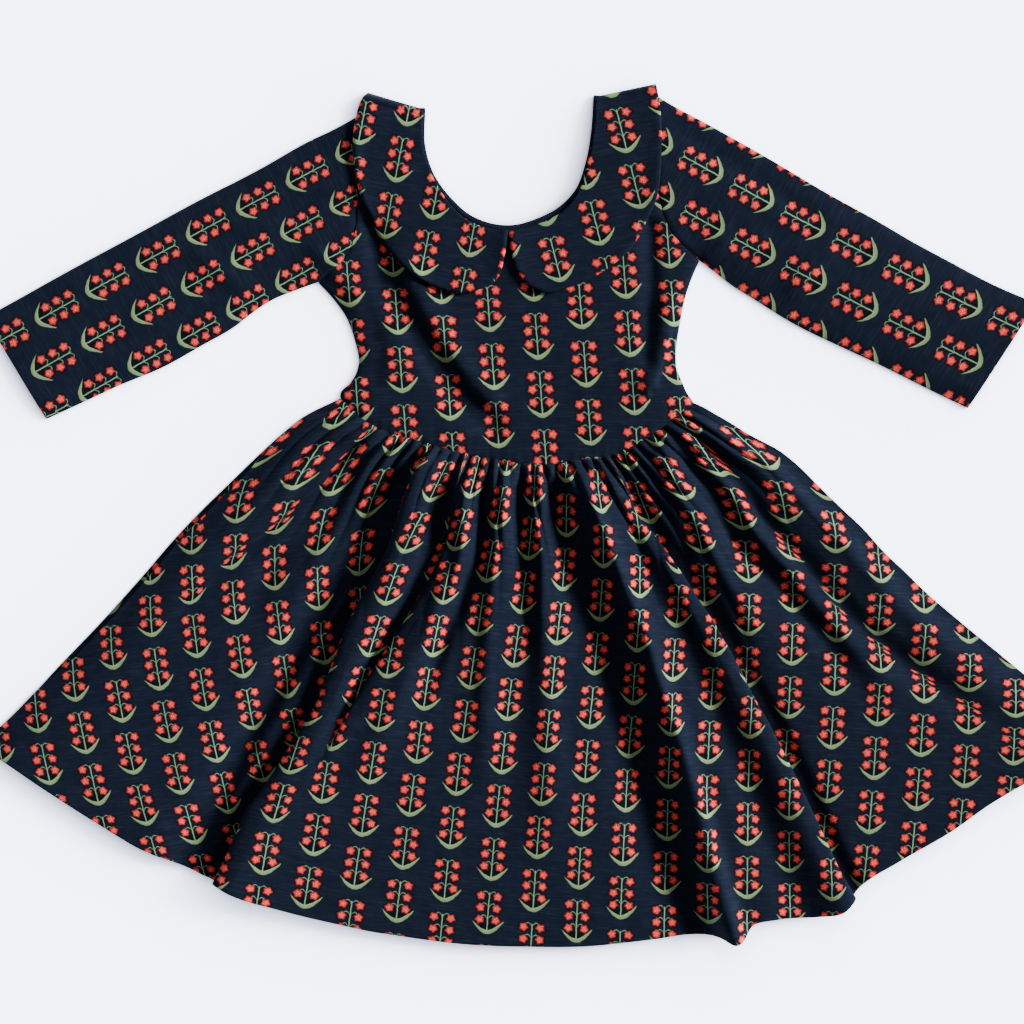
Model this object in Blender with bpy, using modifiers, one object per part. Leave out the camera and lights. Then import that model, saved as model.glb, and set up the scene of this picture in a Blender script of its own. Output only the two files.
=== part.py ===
"""A child's twirl dress in printed jersey, laid flat on its back with the front up.

Sizes are in millimetres and become metres where the meshes are made. The origin is the middle of
the dress on the surface that it lies on: +X is the wearer's left, +Y runs to the neck, +Z is up.
Each cut piece is a sheet of cloth with a wall of its own: the back pieces lie flat on the surface,
the front pieces lie on them, and pieces that are sewn together keep a small gap along the seam.
"""

import math
from typing import NamedTuple

import bpy
import numpy as np
from mathutils import Vector
from mathutils.geometry import delaunay_2d_cdt

MM = 0.001
CLOTH = 1.2  # wall of each sheet
SEAM = 0.3  # gap between neighbouring pieces
LAYER = CLOTH + SEAM  # from the middle of one sheet to the middle of the next
BACK_Z = CLOTH / 2
FRONT_Z = BACK_Z + LAYER
BAND = 3.5  # neck binding's width
NECK_SET_BACK = BAND + SEAM  # bodice and collar start this far outside the neck edge

BODICE_RISE = 3.2  # how far the upper cloth stands above its edges
SKIRT_RISE = 6.0
EDGE_SPREAD = 14.0  # how fast the cloth rises from a folded edge
GATHERS = 36  # along the front waist seam
GATHER_HEIGHT = 2.0
GATHER_FADE = 0.17  # share of the skirt's length
BACK_PEEK = 4.0  # how far the back of the skirt shows past the front at the left
HEM_SET_BACK = 1.2  # how far the back's hem lies inside the front's
PANEL_STEP = 12.0  # between the points inside a shaped panel
COLLAR_STEP = 9.5
COLLAR_LIFT = 0.5  # more than a layer over the bodice
COLLAR_ROLL = 3.3  # how far in from the shoulder the collar reaches its full height
COLLAR_LOW = 1.6  # height of the collar where it turns down at the shoulder
SLEEVE_STATIONS = 15  # from cuff to armhole
SLEEVE_INSET = 1.45  # from the sleeve's edge to where its layers leave the rounded fold
SLEEVE_ROUND = 0.85  # how far the rounded fold stands out from there

# Seam lines and edges, each from left to right or from top to bottom.
NECK = [(-92, 317), (-92, 289), (-85, 266), (-72, 248), (-57, 233), (-42, 225), (-24, 223), (-4, 230),
    (14, 239), (27, 253), (34, 274), (38, 299), (39.5, 327)]
WAIST = [(-157, 90), (-140, 74), (-108, 60), (-81, 53), (-60, 47), (-39, 43), (-12, 39.5), (9, 39.5),
    (28, 43), (49, 45), (65, 50), (80, 59), (103, 75), (117, 86)]
SIDE_LEFT = [(-174, 186), (-163, 170), (-154, 155), (-146, 136), (-143, 120), (-145, 112), (-150, 104),
    (-157, 97), (-158, 91)]
SIDE_RIGHT = [(122, 204), (116, 184), (111, 169), (108, 154), (104, 124), (104, 115), (107, 105),
    (112, 95), (117, 87)]
ARMHOLE_LEFT = [(-137, 322), (-142, 290), (-145, 250), (-147, 222), (-151, 208), (-161, 196), (-174, 186)]
ARMHOLE_RIGHT = [(86, 330), (88, 292), (90, 254), (94, 238), (101, 223), (110, 214), (122, 204)]
SHOULDER_LEFT = [(-137, 322), (-95.8, 313)]
SHOULDER_RIGHT = [(43.3, 324), (86, 331)]

SLEEVE_LEFT_UPPER = [(-436, 156), (-424, 163), (-373, 192), (-322, 218), (-258, 251), (-220, 270),
    (-182, 293), (-144, 312), (-137, 322)]
SLEEVE_LEFT_LOWER = [(-388, 75), (-335, 102), (-297, 118), (-269, 134), (-241, 150), (-223, 164),
    (-212, 169), (-195, 178), (-174, 186)]
SLEEVE_RIGHT_UPPER = [(376, 170), (315, 197), (261, 230), (221, 251), (180, 277), (134, 303), (92, 325),
    (86, 330)]
SLEEVE_RIGHT_LOWER = [(332, 84), (272, 116), (228, 135), (187, 159), (152, 180), (137, 192), (122, 204)]

COLLAR_LEFT = [(-137, 330), (-141, 325), (-147, 304), (-147, 271), (-142, 248), (-135, 233), (-124, 210),
    (-105, 190), (-85, 178), (-67, 173), (-49, 176), (-36, 184), (-30, 202), (-27.4, 219.2)]
COLLAR_RIGHT = [(88, 338), (90, 327), (92, 279), (88, 246), (80, 228), (70, 210), (47, 190), (19, 177),
    (4, 173), (-12, 180), (-20, 190), (-24, 202), (-26.6, 219.2)]
COLLAR_TOP_LEFT = [(-137, 330), (-92, 317)]
COLLAR_TOP_RIGHT = [(39.5, 327), (88, 338)]

SKIRT_LEFT = [(-158, 91), (-190, 75), (-200, 67), (-244, 27), (-285, -12), (-317, -50), (-350, -86),
    (-378, -112), (-424, -160), (-442, -179)]
SKIRT_RIGHT = [(117, 86), (140, 75), (162, 61), (186, 48), (200, 38), (216, 23), (234, 4), (250, -11),
    (267, -28), (298, -56), (319, -77), (353, -105), (376, -124), (441, -179)]
HEM = [(-442, -179), (-424, -191), (-382, -220), (-344, -242), (-313, -262), (-285, -274), (-262, -284),
    (-238, -296), (-216, -305), (-163, -319), (-100, -330), (-46, -336), (4, -337.5), (60, -336),
    (87, -329), (125, -325), (135, -327), (143, -332), (150, -335), (156, -331), (163, -321),
    (182, -316), (213, -314), (233, -310), (250, -289), (277, -272), (319, -248), (349, -226),
    (376, -210), (441, -179)]


class Fold(NamedTuple):
    """One fold of the skirt. Pairs are values at the waist and at the hem."""

    name: str
    path: tuple  # points of its line from the waist down
    fade: tuple  # shares of the length where it begins and ends
    height: tuple
    left: tuple  # width of its left flank
    right: tuple  # width of its right flank


class Overlap(NamedTuple):
    """A fold whose upper side hangs over the lower one. Pairs are values at the waist and at the hem."""

    name: str
    path: tuple
    side: int  # +1 where the cloth to the right is on top, -1 where the left is
    fade: tuple
    rise: tuple  # height of the upper side above the lower
    half_width: tuple
    overhang: tuple  # how far the nose moves out
    fall: float  # distance in which the upper side comes down again


SKIRT_FOLDS = [
    Fold("left edge trough", ((-140, 60), (-190, 8), (-244, -35), (-340, -130)), (0.05, 0.62),
        (-4.5, -1.1), (12, 20), (12, 20)),
    Fold("left dimple", ((-160, 10), (-215, -41), (-232, -88), (-262, -150)), (0.12, 0.6), (-3.9, -1.4),
        (10, 14), (12, 18)),
    Fold("left panel trough", ((-100, 50), (-142, -25), (-190, -103), (-228, -170), (-270, -262)),
        (0.02, 1.3), (-6.0, -5.2), (9, 20), (6, 10)),
    Fold("second trough", ((-78, 40), (-72, -27), (-123, -108), (-160, -180)), (0.06, 0.62),
        (-5.2, -2.6), (7, 12), (6, 9)),
    Fold("between ridge", ((-62, 40), (-60, -27), (-98, -108), (-150, -220), (-180, -315)), (0.06, 0.8),
        (3.9, 2.1), (6, 16), (6, 16)),
    Fold("third trough", ((-44, 35), (-46, 0), (-52, -41), (-72, -82), (-84, -113), (-110, -180)),
        (0.06, 0.62), (-5.2, -2.4), (6, 11), (6, 9)),
    Fold("centre left ridge", ((-32, 35), (-34, -4), (-41, -98), (-58, -330)), (0.04, 0.75), (4.5, 2.4),
        (6, 17), (7, 17)),
    Fold("centre trough", ((-17, 35), (-14, -20), (-12, -59), (-10, -130)), (0.02, 0.5), (-4.5, -2.1),
        (5, 8), (5, 8)),
    Fold("centre ridge", ((-3, 35), (-1, -60), (2, -145), (6, -330)), (0.02, 0.9), (4.9, 2.4), (6, 20),
        (6, 22)),
    Fold("long trough", ((8, 35), (11, -5), (30, -57), (50, -108), (66, -159), (80, -210), (102, -277),
            (128, -322)), (0.03, 1.3), (-5.6, -6.3), (8, 24), (7, 13)),
    Fold("long crest", ((27, 38), (50, -21), (80, -92), (106, -174), (127, -251), (150, -333)),
        (0.05, 1.3), (6.6, 12.2), (9, 20), (7, 9)),
    Fold("shaded band", ((48, 40), (78, -30), (116, -108), (150, -185), (178, -252), (205, -312)),
        (0.12, 1.3), (-3.9, -5.2), (9, 20), (9, 18)),
    Fold("right short ridge", ((85, 55), (110, 10), (140, -45), (178, -100), (240, -200)), (0.05, 0.6),
        (4.2, 1.8), (7, 16), (7, 16)),
    Fold("right trough", ((98, 62), (127, 25), (152, -21), (188, -57), (223, -98), (280, -180)),
        (0.04, 0.75), (-4.9, -2.4), (7, 14), (6, 12)),
    Fold("right ridge", ((104, 68), (130, 40), (166, -10), (210, -62), (262, -120), (320, -190)),
        (0.04, 0.8), (4.5, 1.8), (6, 15), (6, 15)),
    Fold("right long trough", ((108, 72), (140, 35), (167, 1), (200, -35), (240, -82), (292, -123),
            (350, -160)), (0.04, 0.95), (-5.6, -3.9), (7, 16), (7, 14)),
    Fold("right edge ridge", ((112, 78), (150, 52), (190, 22), (240, -28), (300, -90), (380, -160)),
        (0.05, 0.85), (3.9, 1.8), (6, 14), (8, 16)),
]
OVERLAPS = [
    Overlap("left pleat", ((-88, 52), (-118, -22), (-150, -85), (-172, -145), (-198, -188), (-226, -230),
            (-252, -287)), 1, (0.03, 1.3), (6.0, 8.5), (9, 10), (3.0, 9.0), 80),
    Overlap("right pleat", ((52, 45), (76, -4), (108, -45), (144, -105), (176, -166), (201, -217),
            (228, -276), (243, -300)), -1, (0.08, 1.3), (4.5, 7.5), (8, 9), (2.5, 6.5), 45),
]


class Crease(NamedTuple):
    """A soft fold of the bodice or a sleeve: a ridge, or a trough where the height is negative."""

    name: str
    path: tuple
    height: float
    left: float  # width of the flank on the left of the path's direction
    right: float


CREASES = [
    Crease("left diagonal trough", ((-132, 222), (-118, 173), (-88, 127), (-66, 93), (-42, 72)), -3.4, 9,
        11),
    Crease("left diagonal ridge", ((-104, 190), (-88, 152), (-64, 117), (-42, 92)), 2.0, 11, 9),
    Crease("right vertical trough", ((83, 225), (84, 170), (82, 120)), -2.6, 7, 7),
    Crease("right side fold", ((101, 160), (98, 138), (91, 116), (86, 102)), 4.5, 3.0, 12),
    Crease("left side crease", ((-140, 160), (-128, 128), (-132, 108)), -1.2, 7, 7),
    Crease("left armpit fold", ((-176, 205), (-152, 178), (-140, 150)), 1.4, 7, 7),
    Crease("right sleeve trough", ((108, 303), (160, 268), (213, 234)), -1.6, 9, 9),
    Crease("right armpit fold", ((140, 212), (112, 192), (104, 168)), 1.3, 6, 7),
    Crease("left elbow fold", ((-232, 176), (-252, 190), (-268, 204)), 1.0, 8, 8),
    Crease("right elbow fold", ((196, 176), (206, 190), (222, 204)), 1.0, 8, 8),
]

COLORS = {
    "bodice_front": (0.0075, 0.0137, 0.0276),
    "bodice_back": (0.0070, 0.0130, 0.0262),
    "sleeve_left": (0.0078, 0.0141, 0.0282),
    "sleeve_right": (0.0080, 0.0143, 0.0284),
    "collar_left": (0.0082, 0.0146, 0.0290),
    "collar_right": (0.0083, 0.0147, 0.0292),
    "neck_binding": (0.0068, 0.0122, 0.0250),
    "skirt_front": (0.0076, 0.0139, 0.0280),
    "skirt_back": (0.0071, 0.0131, 0.0265),
}


def mix(pair, share):
    """The value at share of the way from pair's first value to its second."""
    return pair[0] + (pair[1] - pair[0]) * share


def ease(value):
    """0 below 0, 1 above 1 and a smooth step between."""
    value = np.clip(value, 0, 1)
    return value * value * (3 - 2 * value)


class Line:
    """A smooth curve through points, read by the share of its length."""

    def __init__(self, points, smooth=True):
        p = np.asarray(points, float)
        gap = np.hypot(*np.diff(p, axis=0).T)[:, None]
        slope = np.diff(p, axis=0) / gap
        if len(p) > 2 and smooth:
            inner = (slope[:-1] * gap[1:] + slope[1:] * gap[:-1]) / (gap[:-1] + gap[1:])
            tangent = np.vstack([slope[:1], inner, slope[-1:]])
            t = np.linspace(0, 1, 16, endpoint=False)[None, :, None]
            a, b, h = p[:-1, None], p[1:, None], gap[:, None]
            ta, tb = tangent[:-1, None] * h, tangent[1:, None] * h
            curve = a * (1 + 2 * t) * (1 - t) ** 2 + ta * t * (1 - t) ** 2
            curve += b * t**2 * (3 - 2 * t) + tb * t**2 * (t - 1)
            p = np.vstack([curve.reshape(-1, 2), p[-1:]])
        self.points = p
        run = np.concatenate([[0], np.cumsum(np.hypot(*np.diff(p, axis=0).T))])
        self.length = float(run[-1])
        self.run = run / run[-1]

    def at(self, share):
        share = np.asarray(share, float)
        return np.stack([np.interp(share, self.run, self.points[:, k]) for k in (0, 1)], -1)

    def beside(self, offset, count):
        """count points of the curve moved offset to the left of its direction."""
        share = np.linspace(0, 1, count)
        step = self.at(np.minimum(share + 0.004, 1)) - self.at(np.maximum(share - 0.004, 0))
        step /= np.hypot(*step.T)[:, None]
        return self.at(share) + offset * np.stack([-step[:, 1], step[:, 0]], 1)


def between(points, start, end):
    """A path of straight runs through points, with its ends drawn to start and end."""
    share = np.linspace(0, 1, len(points))[:, None]
    points = points + (np.asarray(start) - points[0]) * (1 - share) ** 8
    return Line(points + (np.asarray(end) - points[-1]) * share**8, False)


def reach(points, path):
    """Distance of each point to a path of straight runs, and 1 on its left or -1 on its right."""
    a, b = np.asarray(path[:-1], float), np.asarray(path[1:], float)
    way = b - a
    best = np.full(points.shape[:-1], 1e9)
    sign = np.ones(points.shape[:-1])
    for start, step in zip(a, way):
        rel = points - start
        t = np.clip((rel @ step) / (step @ step), 0, 1)
        gap = np.hypot(*np.moveaxis(rel - t[..., None] * step, -1, 0))
        cross = step[0] * rel[..., 1] - step[1] * rel[..., 0]
        near = gap < best
        best = np.where(near, gap, best)
        sign = np.where(near, np.where(cross >= 0, 1.0, -1.0), sign)
    return best, sign


class Patch:
    """A sheet spanned between four edges: u runs from left to right, v from top to bottom."""

    def __init__(self, top, bottom, left, right):
        self.top, self.bottom, self.left, self.right = top, bottom, left, right

    def at(self, u, v):
        u, v = np.broadcast_arrays(np.asarray(u, float), np.asarray(v, float))
        uu, vv = u[..., None], v[..., None]
        edges = (1 - vv) * self.top.at(u) + vv * self.bottom.at(u)
        edges = edges + (1 - uu) * self.left.at(v) + uu * self.right.at(v)
        a, b = self.top.at(0.0), self.top.at(1.0)
        c, d = self.bottom.at(0.0), self.bottom.at(1.0)
        return edges - (1 - uu) * (1 - vv) * a - uu * (1 - vv) * b - (1 - uu) * vv * c - uu * vv * d

    def width(self, v):
        return mix((self.top.length, self.bottom.length), v)

    def trace(self, path):
        """Where a path's points lie, as rising v and the u of each."""
        u, v = np.meshgrid(np.linspace(0, 1, 801), np.linspace(0, 1, 401))
        grid = self.at(u, v)
        found = []
        for point in path:
            spot = np.argmin(((grid - point) ** 2).sum(-1))
            found.append((v.flat[spot], u.flat[spot]))
        found.sort()
        return np.array(found).T


def upper_height(points):
    """Height of the middle of the upper cloth of the bodice and the sleeves."""
    edges = [SIDE_LEFT, SIDE_RIGHT, SHOULDER_LEFT, SHOULDER_RIGHT]
    edges += [SLEEVE_LEFT_UPPER, SLEEVE_LEFT_LOWER, SLEEVE_RIGHT_UPPER, SLEEVE_RIGHT_LOWER]
    near = np.min([reach(points, edge)[0] for edge in edges], axis=0)
    inner = 1 - np.exp(-near / EDGE_SPREAD)
    rise = BODICE_RISE * np.ones(points.shape[:-1])
    for crease in CREASES:
        gap, sign = reach(points, crease.path)
        flank = np.where(sign > 0, crease.left, crease.right)
        rise = rise + crease.height * np.exp(-((gap / flank) ** 2))
    return FRONT_Z + 0.2 + inner * 0.5 * (rise + np.sqrt(rise**2 + 0.3))


class SkirtFront:
    """The gathered front of the skirt: a patch with folds, overlaps and gathers on it."""

    def __init__(self):
        side = Line(SKIRT_LEFT)
        share = np.linspace(0, 1, 60)
        peek = BACK_PEEK * ease((share - 0.12) / 0.15) * ease((0.86 - share) / 0.12)
        step = np.gradient(side.at(share), axis=0)
        step /= np.hypot(*step.T)[:, None]
        inset = side.at(share) + (peek + 0.4)[:, None] * np.stack([-step[:, 1], step[:, 0]], 1)
        waist = Line(Line(WAIST).beside(-0.25, 120), False)
        left = between(inset, waist.at(0), HEM[0])
        right = between(Line(SKIRT_RIGHT).at(share), waist.at(1), HEM[-1])
        self.patch = Patch(waist, Line(HEM), left, right)
        self.folds = [(fold, self.patch.trace(fold.path)) for fold in SKIRT_FOLDS]
        self.overlaps = [(lap, self.patch.trace(lap.path)) for lap in OVERLAPS]

    def columns(self, count, v):
        """Places across at v, even at the waist and closer together at the folds lower down."""
        fine = np.linspace(0, 1, 2001)
        crowd = np.ones_like(fine)
        width = self.patch.width(v)
        for lap, (vs, us) in self.overlaps:
            gap = (fine - np.interp(v, vs, us)) * width / (1.6 * mix(lap.half_width, v))
            crowd += 6.5 * ease(v / 0.7) * np.exp(-(gap**2))
        for fold, (vs, us) in self.folds:
            gap = (fine - np.interp(v, vs, us)) * width / (1.3 * (mix(fold.left, v) + mix(fold.right, v)))
            crowd += 0.16 * abs(mix(fold.height, v)) * ease(v / 0.7) * np.exp(-(gap**2))
        run = np.concatenate([[0], np.cumsum(crowd[1:] + crowd[:-1])])
        return np.interp(np.linspace(0, run[-1], count + 1), run, fine)

    def at(self, u, v):
        """Points of the middle of the sheet, for arrays of u and v."""
        u, v = np.broadcast_arrays(np.asarray(u, float), np.asarray(v, float))
        base = self.patch.at(u, v)
        width = self.patch.width(v)
        across = self.patch.at(np.minimum(u + 0.01, 1), v) - self.patch.at(np.maximum(u - 0.01, 0), v)
        across = across / np.linalg.norm(across, axis=-1, keepdims=True)
        edge = np.minimum(u, 1 - u) * width
        inner = 1 - np.exp(-((edge / 16) ** 1.5))
        rise = SKIRT_RISE + np.zeros_like(u)
        for fold, (vs, us) in self.folds:
            gap = (u - np.interp(v, vs, us)) * width
            flank = np.where(gap < 0, mix(fold.left, v), mix(fold.right, v))
            shown = ease((v - fold.fade[0] + 0.06) / 0.12) * ease((fold.fade[1] - v) / 0.25)
            rise = rise + shown * mix(fold.height, v) * np.exp(-((gap / flank) ** 2))
        lift = np.zeros_like(u)
        shift = np.zeros_like(u)
        for lap, (vs, us) in self.overlaps:
            gap = (u - np.interp(v, vs, us)) * width * lap.side
            half = mix(lap.half_width, v)
            shown = ease((v - lap.fade[0] + 0.06) / 0.12)
            t = np.clip(gap / half, -1, 1)
            fall = np.exp(-np.maximum(gap - half, 0) / lap.fall)
            lift = lift + shown * mix(lap.rise, v) * ease((t + 1) / 2) * fall
            shift = shift - shown * lap.side * mix(lap.overhang, v) * np.sin(math.pi * t)
            rise = rise - rise * shown * np.exp(-((gap + 0.4 * half) ** 2) / half**2) * 0.8
        rise = 0.5 * (rise + np.sqrt(rise**2 + 0.5)) + lift
        wave = np.cos(2 * math.pi * (GATHERS * u + 0.12 * np.sin(2 * math.pi * 4 * u)))
        uneven = 1 + 0.35 * np.sin(2 * math.pi * 5.3 * u + 0.7) + 0.2 * np.sin(2 * math.pi * 11.7 * u)
        gather = GATHER_HEIGHT * uneven * wave * np.exp(-((v / GATHER_FADE) ** 1.3))
        gather = gather * ease((v + 0.012) / 0.03)
        height = FRONT_Z + inner * rise
        seam = upper_height(base)
        joined = ease(v / 0.05)
        z = seam + (height - seam) * joined + gather * inner
        z = FRONT_Z + 0.5 * (z - FRONT_Z + np.sqrt((z - FRONT_Z) ** 2 + 0.04))
        plan = base + across * (shift * inner)[..., None]
        return np.concatenate([plan, z[..., None]], -1)


def make_object(name, points, faces, thickness=CLOTH):
    """An object from points in millimetres, thickened into a wall, with its own material."""
    mesh = bpy.data.meshes.new(name)
    mesh.from_pydata([Vector(p) * MM for p in np.asarray(points, float).tolist()], [], faces)
    mesh.validate()
    obj = bpy.data.objects.new(name, mesh)
    bpy.data.collections["twirl_dress"].objects.link(obj)
    if thickness:
        wall = obj.modifiers.new("wall", "SOLIDIFY")
        wall.thickness = thickness * MM
        wall.offset = 0
    finish(obj)
    return obj


def finish(obj):
    """Gives the object its cloth material and smooth shading."""
    material = bpy.data.materials.new(obj.name)
    material.use_nodes = True
    shader = material.node_tree.nodes["Principled BSDF"]
    shader.inputs["Base Color"].default_value = (*COLORS[obj.name], 1)
    shader.inputs["Roughness"].default_value = 0.88
    shader.inputs["Metallic"].default_value = 0
    obj.data.materials.append(material)
    if obj.type == "MESH":
        obj.data.shade_smooth()


def flat_panel(name, outline):
    """A piece that lies flat on the surface: a filled outline, extruded to the cloth's thickness."""
    curve = bpy.data.curves.new(name, "CURVE")
    curve.dimensions = "2D"
    curve.fill_mode = "BOTH"
    curve.extrude = CLOTH / 2 * MM
    spline = curve.splines.new("POLY")
    spline.points.add(len(outline) - 1)
    for point, (x, y) in zip(spline.points, outline):
        point.co = (x * MM, y * MM, 0, 1)
    spline.use_cyclic_u = True
    obj = bpy.data.objects.new(name, curve)
    obj.location.z = BACK_Z * MM
    bpy.data.collections["twirl_dress"].objects.link(obj)
    finish(obj)


def cut_sheet(outline, step, extra=()):
    """Triangles that fill an outline, from its own points, rows of points inside it and extra ones."""
    outline = np.asarray(outline, float)
    low, high = outline.min(0), outline.max(0)
    rows = np.arange(low[1] + step / 2, high[1], step * 0.866)
    grid = [(x + (k % 2) * step / 2, y) for k,
        y in enumerate(rows) for x in np.arange(low[0], high[0], step)]
    grid = np.array(grid)
    closed = np.vstack([outline, outline[:1]])
    a, b = closed[:-1], closed[1:]
    crossing = (a[:, 1] > grid[:, 1:2]) != (b[:, 1] > grid[:, 1:2])
    rise = np.where(b[:, 1] == a[:, 1], 1, b[:, 1] - a[:, 1])
    where = a[:, 0] + (grid[:, 1:2] - a[:, 1]) * (b[:, 0] - a[:, 0]) / rise
    inside = (crossing & (grid[:, :1] < where)).sum(1) % 2 == 1
    grid = grid[inside]
    grid = grid[reach(grid, closed)[0] > step * 0.45]
    if len(extra):
        apart = np.hypot(*(grid[:, None] - extra[None]).transpose(2, 0, 1)).min(1)
        grid = np.vstack([grid[apart > step * 0.5], extra])
    count = len(outline)
    points = [Vector(p) for p in np.vstack([outline, grid]).tolist()]
    ring = [(k, (k + 1) % count) for k in range(count)]
    points, _, faces, _, _, _ = delaunay_2d_cdt(points, ring, [list(range(count))], 1, 1e-6)
    flat = np.array([tuple(p) for p in points])
    faces = [tuple(f) for f in faces]
    ordered = []
    for f in faces:
        (ax, ay), (bx, by), (cx, cy) = flat[f[0]], flat[f[1]], flat[f[2]]
        turn = (bx - ax) * (cy - ay) - (by - ay) * (cx - ax)
        ordered.append(f if turn > 0 else f[::-1])
    return flat, ordered


def bodice_outline(inset=0.0):
    """The bodice's cut edge, from the left shoulder along the neckline and round."""
    neck = Line(NECK).beside(-NECK_SET_BACK, 46)
    neck = neck[(neck[:, 1] < 313)]
    gap = SEAM + 0.4 + inset
    arm_right = Line(ARMHOLE_RIGHT).beside(-gap, 24)
    side_right = Line(SIDE_RIGHT).beside(-inset, 16)[1:-1]
    waist = Line(WAIST).beside(0.35, 70)[::-1]
    side_left = Line(SIDE_LEFT).beside(inset, 16)[1:-1][::-1]
    arm_left = Line(ARMHOLE_LEFT).beside(gap, 24)[::-1]
    top_left, top_right = [(-95.8, 313)], [(43.3, 324)]
    return np.vstack([top_left, neck, top_right, arm_right, side_right, waist, side_left, arm_left])


def collar(name, outer, top, neck_shares):
    """Half a collar: it lies on the bodice and turns down over the shoulder at its top edge."""
    neck = Line(NECK).beside(-NECK_SET_BACK, 60)
    low, high = neck_shares
    chosen = neck[int(low * 59):int(high * 59) + 1]
    outer_line = Line(outer).at(np.linspace(0, 1, 44))
    if name.endswith("left"):
        outline = np.vstack([chosen, outer_line[::-1]])
    else:
        outline = np.vstack([outer_line[::-1], chosen[::-1]])[::-1]
    turn = Line(top, False).beside(-COLLAR_ROLL - 0.1, 9)[1:-1]
    flat, faces = cut_sheet(outline, COLLAR_STEP, turn)
    height = upper_height(flat) + LAYER + COLLAR_LIFT
    inside = reach(flat, top)[0]
    height = COLLAR_LOW + (height - COLLAR_LOW) * ease(inside / COLLAR_ROLL)
    make_object(name, np.column_stack([flat, height]), faces)


def sleeve(name, upper, lower, armhole, cuff):
    """A flattened tube from the cuff to the armhole, folded along its upper and lower edges."""
    tube = Patch(Line([upper[0], lower[0]], False), Line(armhole), Line(upper), Line(lower))
    s = np.linspace(0, 1, SLEEVE_STATIONS)
    width = np.hypot(*(tube.at(0, s) - tube.at(1, s)).T)
    ring, fold = SLEEVE_INSET, SLEEVE_ROUND
    turn = np.radians([45, 0, -45])
    top = [("top", ring, t) for t in np.linspace(0, 1, 11)]
    right = [("turn", ring - fold * math.cos(a), 0.5 + 0.5 * math.sin(a)) for a in turn]
    low = [("low", ring, t) for t in np.linspace(1, 0, 7)]
    left = [("turn back", ring - fold * math.cos(a), 0.5 + 0.5 * math.sin(a)) for a in turn[::-1]]
    points = []
    for kind, inset, value in top + right + low + left:
        edge = inset / width
        if kind in ("top", "low"):
            t = edge + (1 - 2 * edge) * value
        else:
            t = 1 - edge if kind == "turn" else edge
        plan = tube.at(t, s)
        z = BACK_Z + np.zeros(SLEEVE_STATIONS)
        if kind != "low":
            lift = upper_height(plan) - BACK_Z
            z = BACK_Z + lift * (1 if kind == "top" else value)
        points.append(np.column_stack([plan, z]))
    points = np.stack(points, 1)
    count = points.shape[1]
    index = np.arange(SLEEVE_STATIONS * count).reshape(SLEEVE_STATIONS, count)
    faces = []
    for a, b in zip(index, index[1:]):
        for k in range(count):
            n = (k + 1) % count
            faces.append((a[k], b[k], b[n], a[n]))
    faces = [tuple(int(i) for i in f) for f in faces]
    if cuff == "left":
        faces = [f[::-1] for f in faces]
    make_object(name, points.reshape(-1, 3), [f[::-1] for f in faces])


def neck_binding():
    """One strip round the whole neckline: over the front, round each shoulder and along the back."""
    line = Line(NECK)
    count = 44
    inner, outer = line.beside(0, count), line.beside(-BAND, count)
    middle = (inner + outer) / 2
    rows = [(a, m, b, upper_height(m)) for a, m, b in zip(inner, middle, outer)]
    turn = np.radians([45, 0, -45])
    tail, head = line.at(1.0) - line.at(0.985), line.at(0.0) - line.at(0.015)
    tail, head = tail / np.hypot(*tail), head / np.hypot(*head)
    half = 0.5 * (rows[-1][3] - BACK_Z)
    ends = [(half * math.cos(a), BACK_Z + half + half * math.sin(a)) for a in turn]
    loop = list(rows)
    loop += [(rows[-1][0] + tail * d, rows[-1][1] + tail * d, rows[-1][2] + tail * d, z) for d, z in ends]
    loop += [(a, m, b, BACK_Z) for a, m, b, _ in rows[::-1]]
    loop += [(rows[0][0] + head * d, rows[0][1] + head * d, rows[0][2] + head * d, z) for d,
        z in ends[::-1]]
    points = [(*p, z) for a, m, b, z in loop for p in (a, m, b)]
    faces = []
    total = len(loop)
    for k in range(total):
        n = (k + 1) % total
        for c in (0, 1):
            faces.append((3 * k + c, 3 * k + c + 1, 3 * n + c + 1, 3 * n + c))
    make_object("neck_binding", points, faces)


def skirt_front():
    """The gathered front: fine columns at the waist, where the gathers are, and half as many below."""
    skirt = SkirtFront()
    fine = 4 * GATHERS
    upper_rows = [0, 0.012, 0.032, 0.06, 0.10, 0.15]
    lower_rows = [0.21, 0.28, 0.36, 0.44, 0.52, 0.60, 0.68, 0.76, 0.84, 0.92, 1.0]
    points, rows = [], []
    for v in upper_rows + lower_rows:
        u = skirt.columns(fine, v)
        if v in lower_rows:
            u = u[::2]
        rows.append(range(len(points), len(points) + len(u)))
        points.extend(skirt.at(u, v).tolist())
    faces = []
    for a, b in zip(rows, rows[1:]):
        if len(a) == len(b):
            faces += [(a[k], b[k], b[k + 1], a[k + 1]) for k in range(len(a) - 1)]
            continue
        for k in range(len(b) - 1):
            p, q, r = a[2 * k], a[2 * k + 1], a[2 * k + 2]
            faces += [(p, b[k], q), (q, b[k], b[k + 1]), (q, b[k + 1], r)]
    make_object("skirt_front", points, faces)


def skirt_back():
    """The back of the skirt lies flat under the front and shows a little past its left edge."""
    left = Line(SKIRT_LEFT).beside(0.0, 30)
    hem = Line(HEM).beside(HEM_SET_BACK, 60)[1:-1]
    right = Line(SKIRT_RIGHT).beside(-0.8, 30)[::-1]
    waist = Line(WAIST).beside(-0.25, 70)[::-1][1:-1]
    flat_panel("skirt_back", np.vstack([left, hem, right, waist]))


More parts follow.
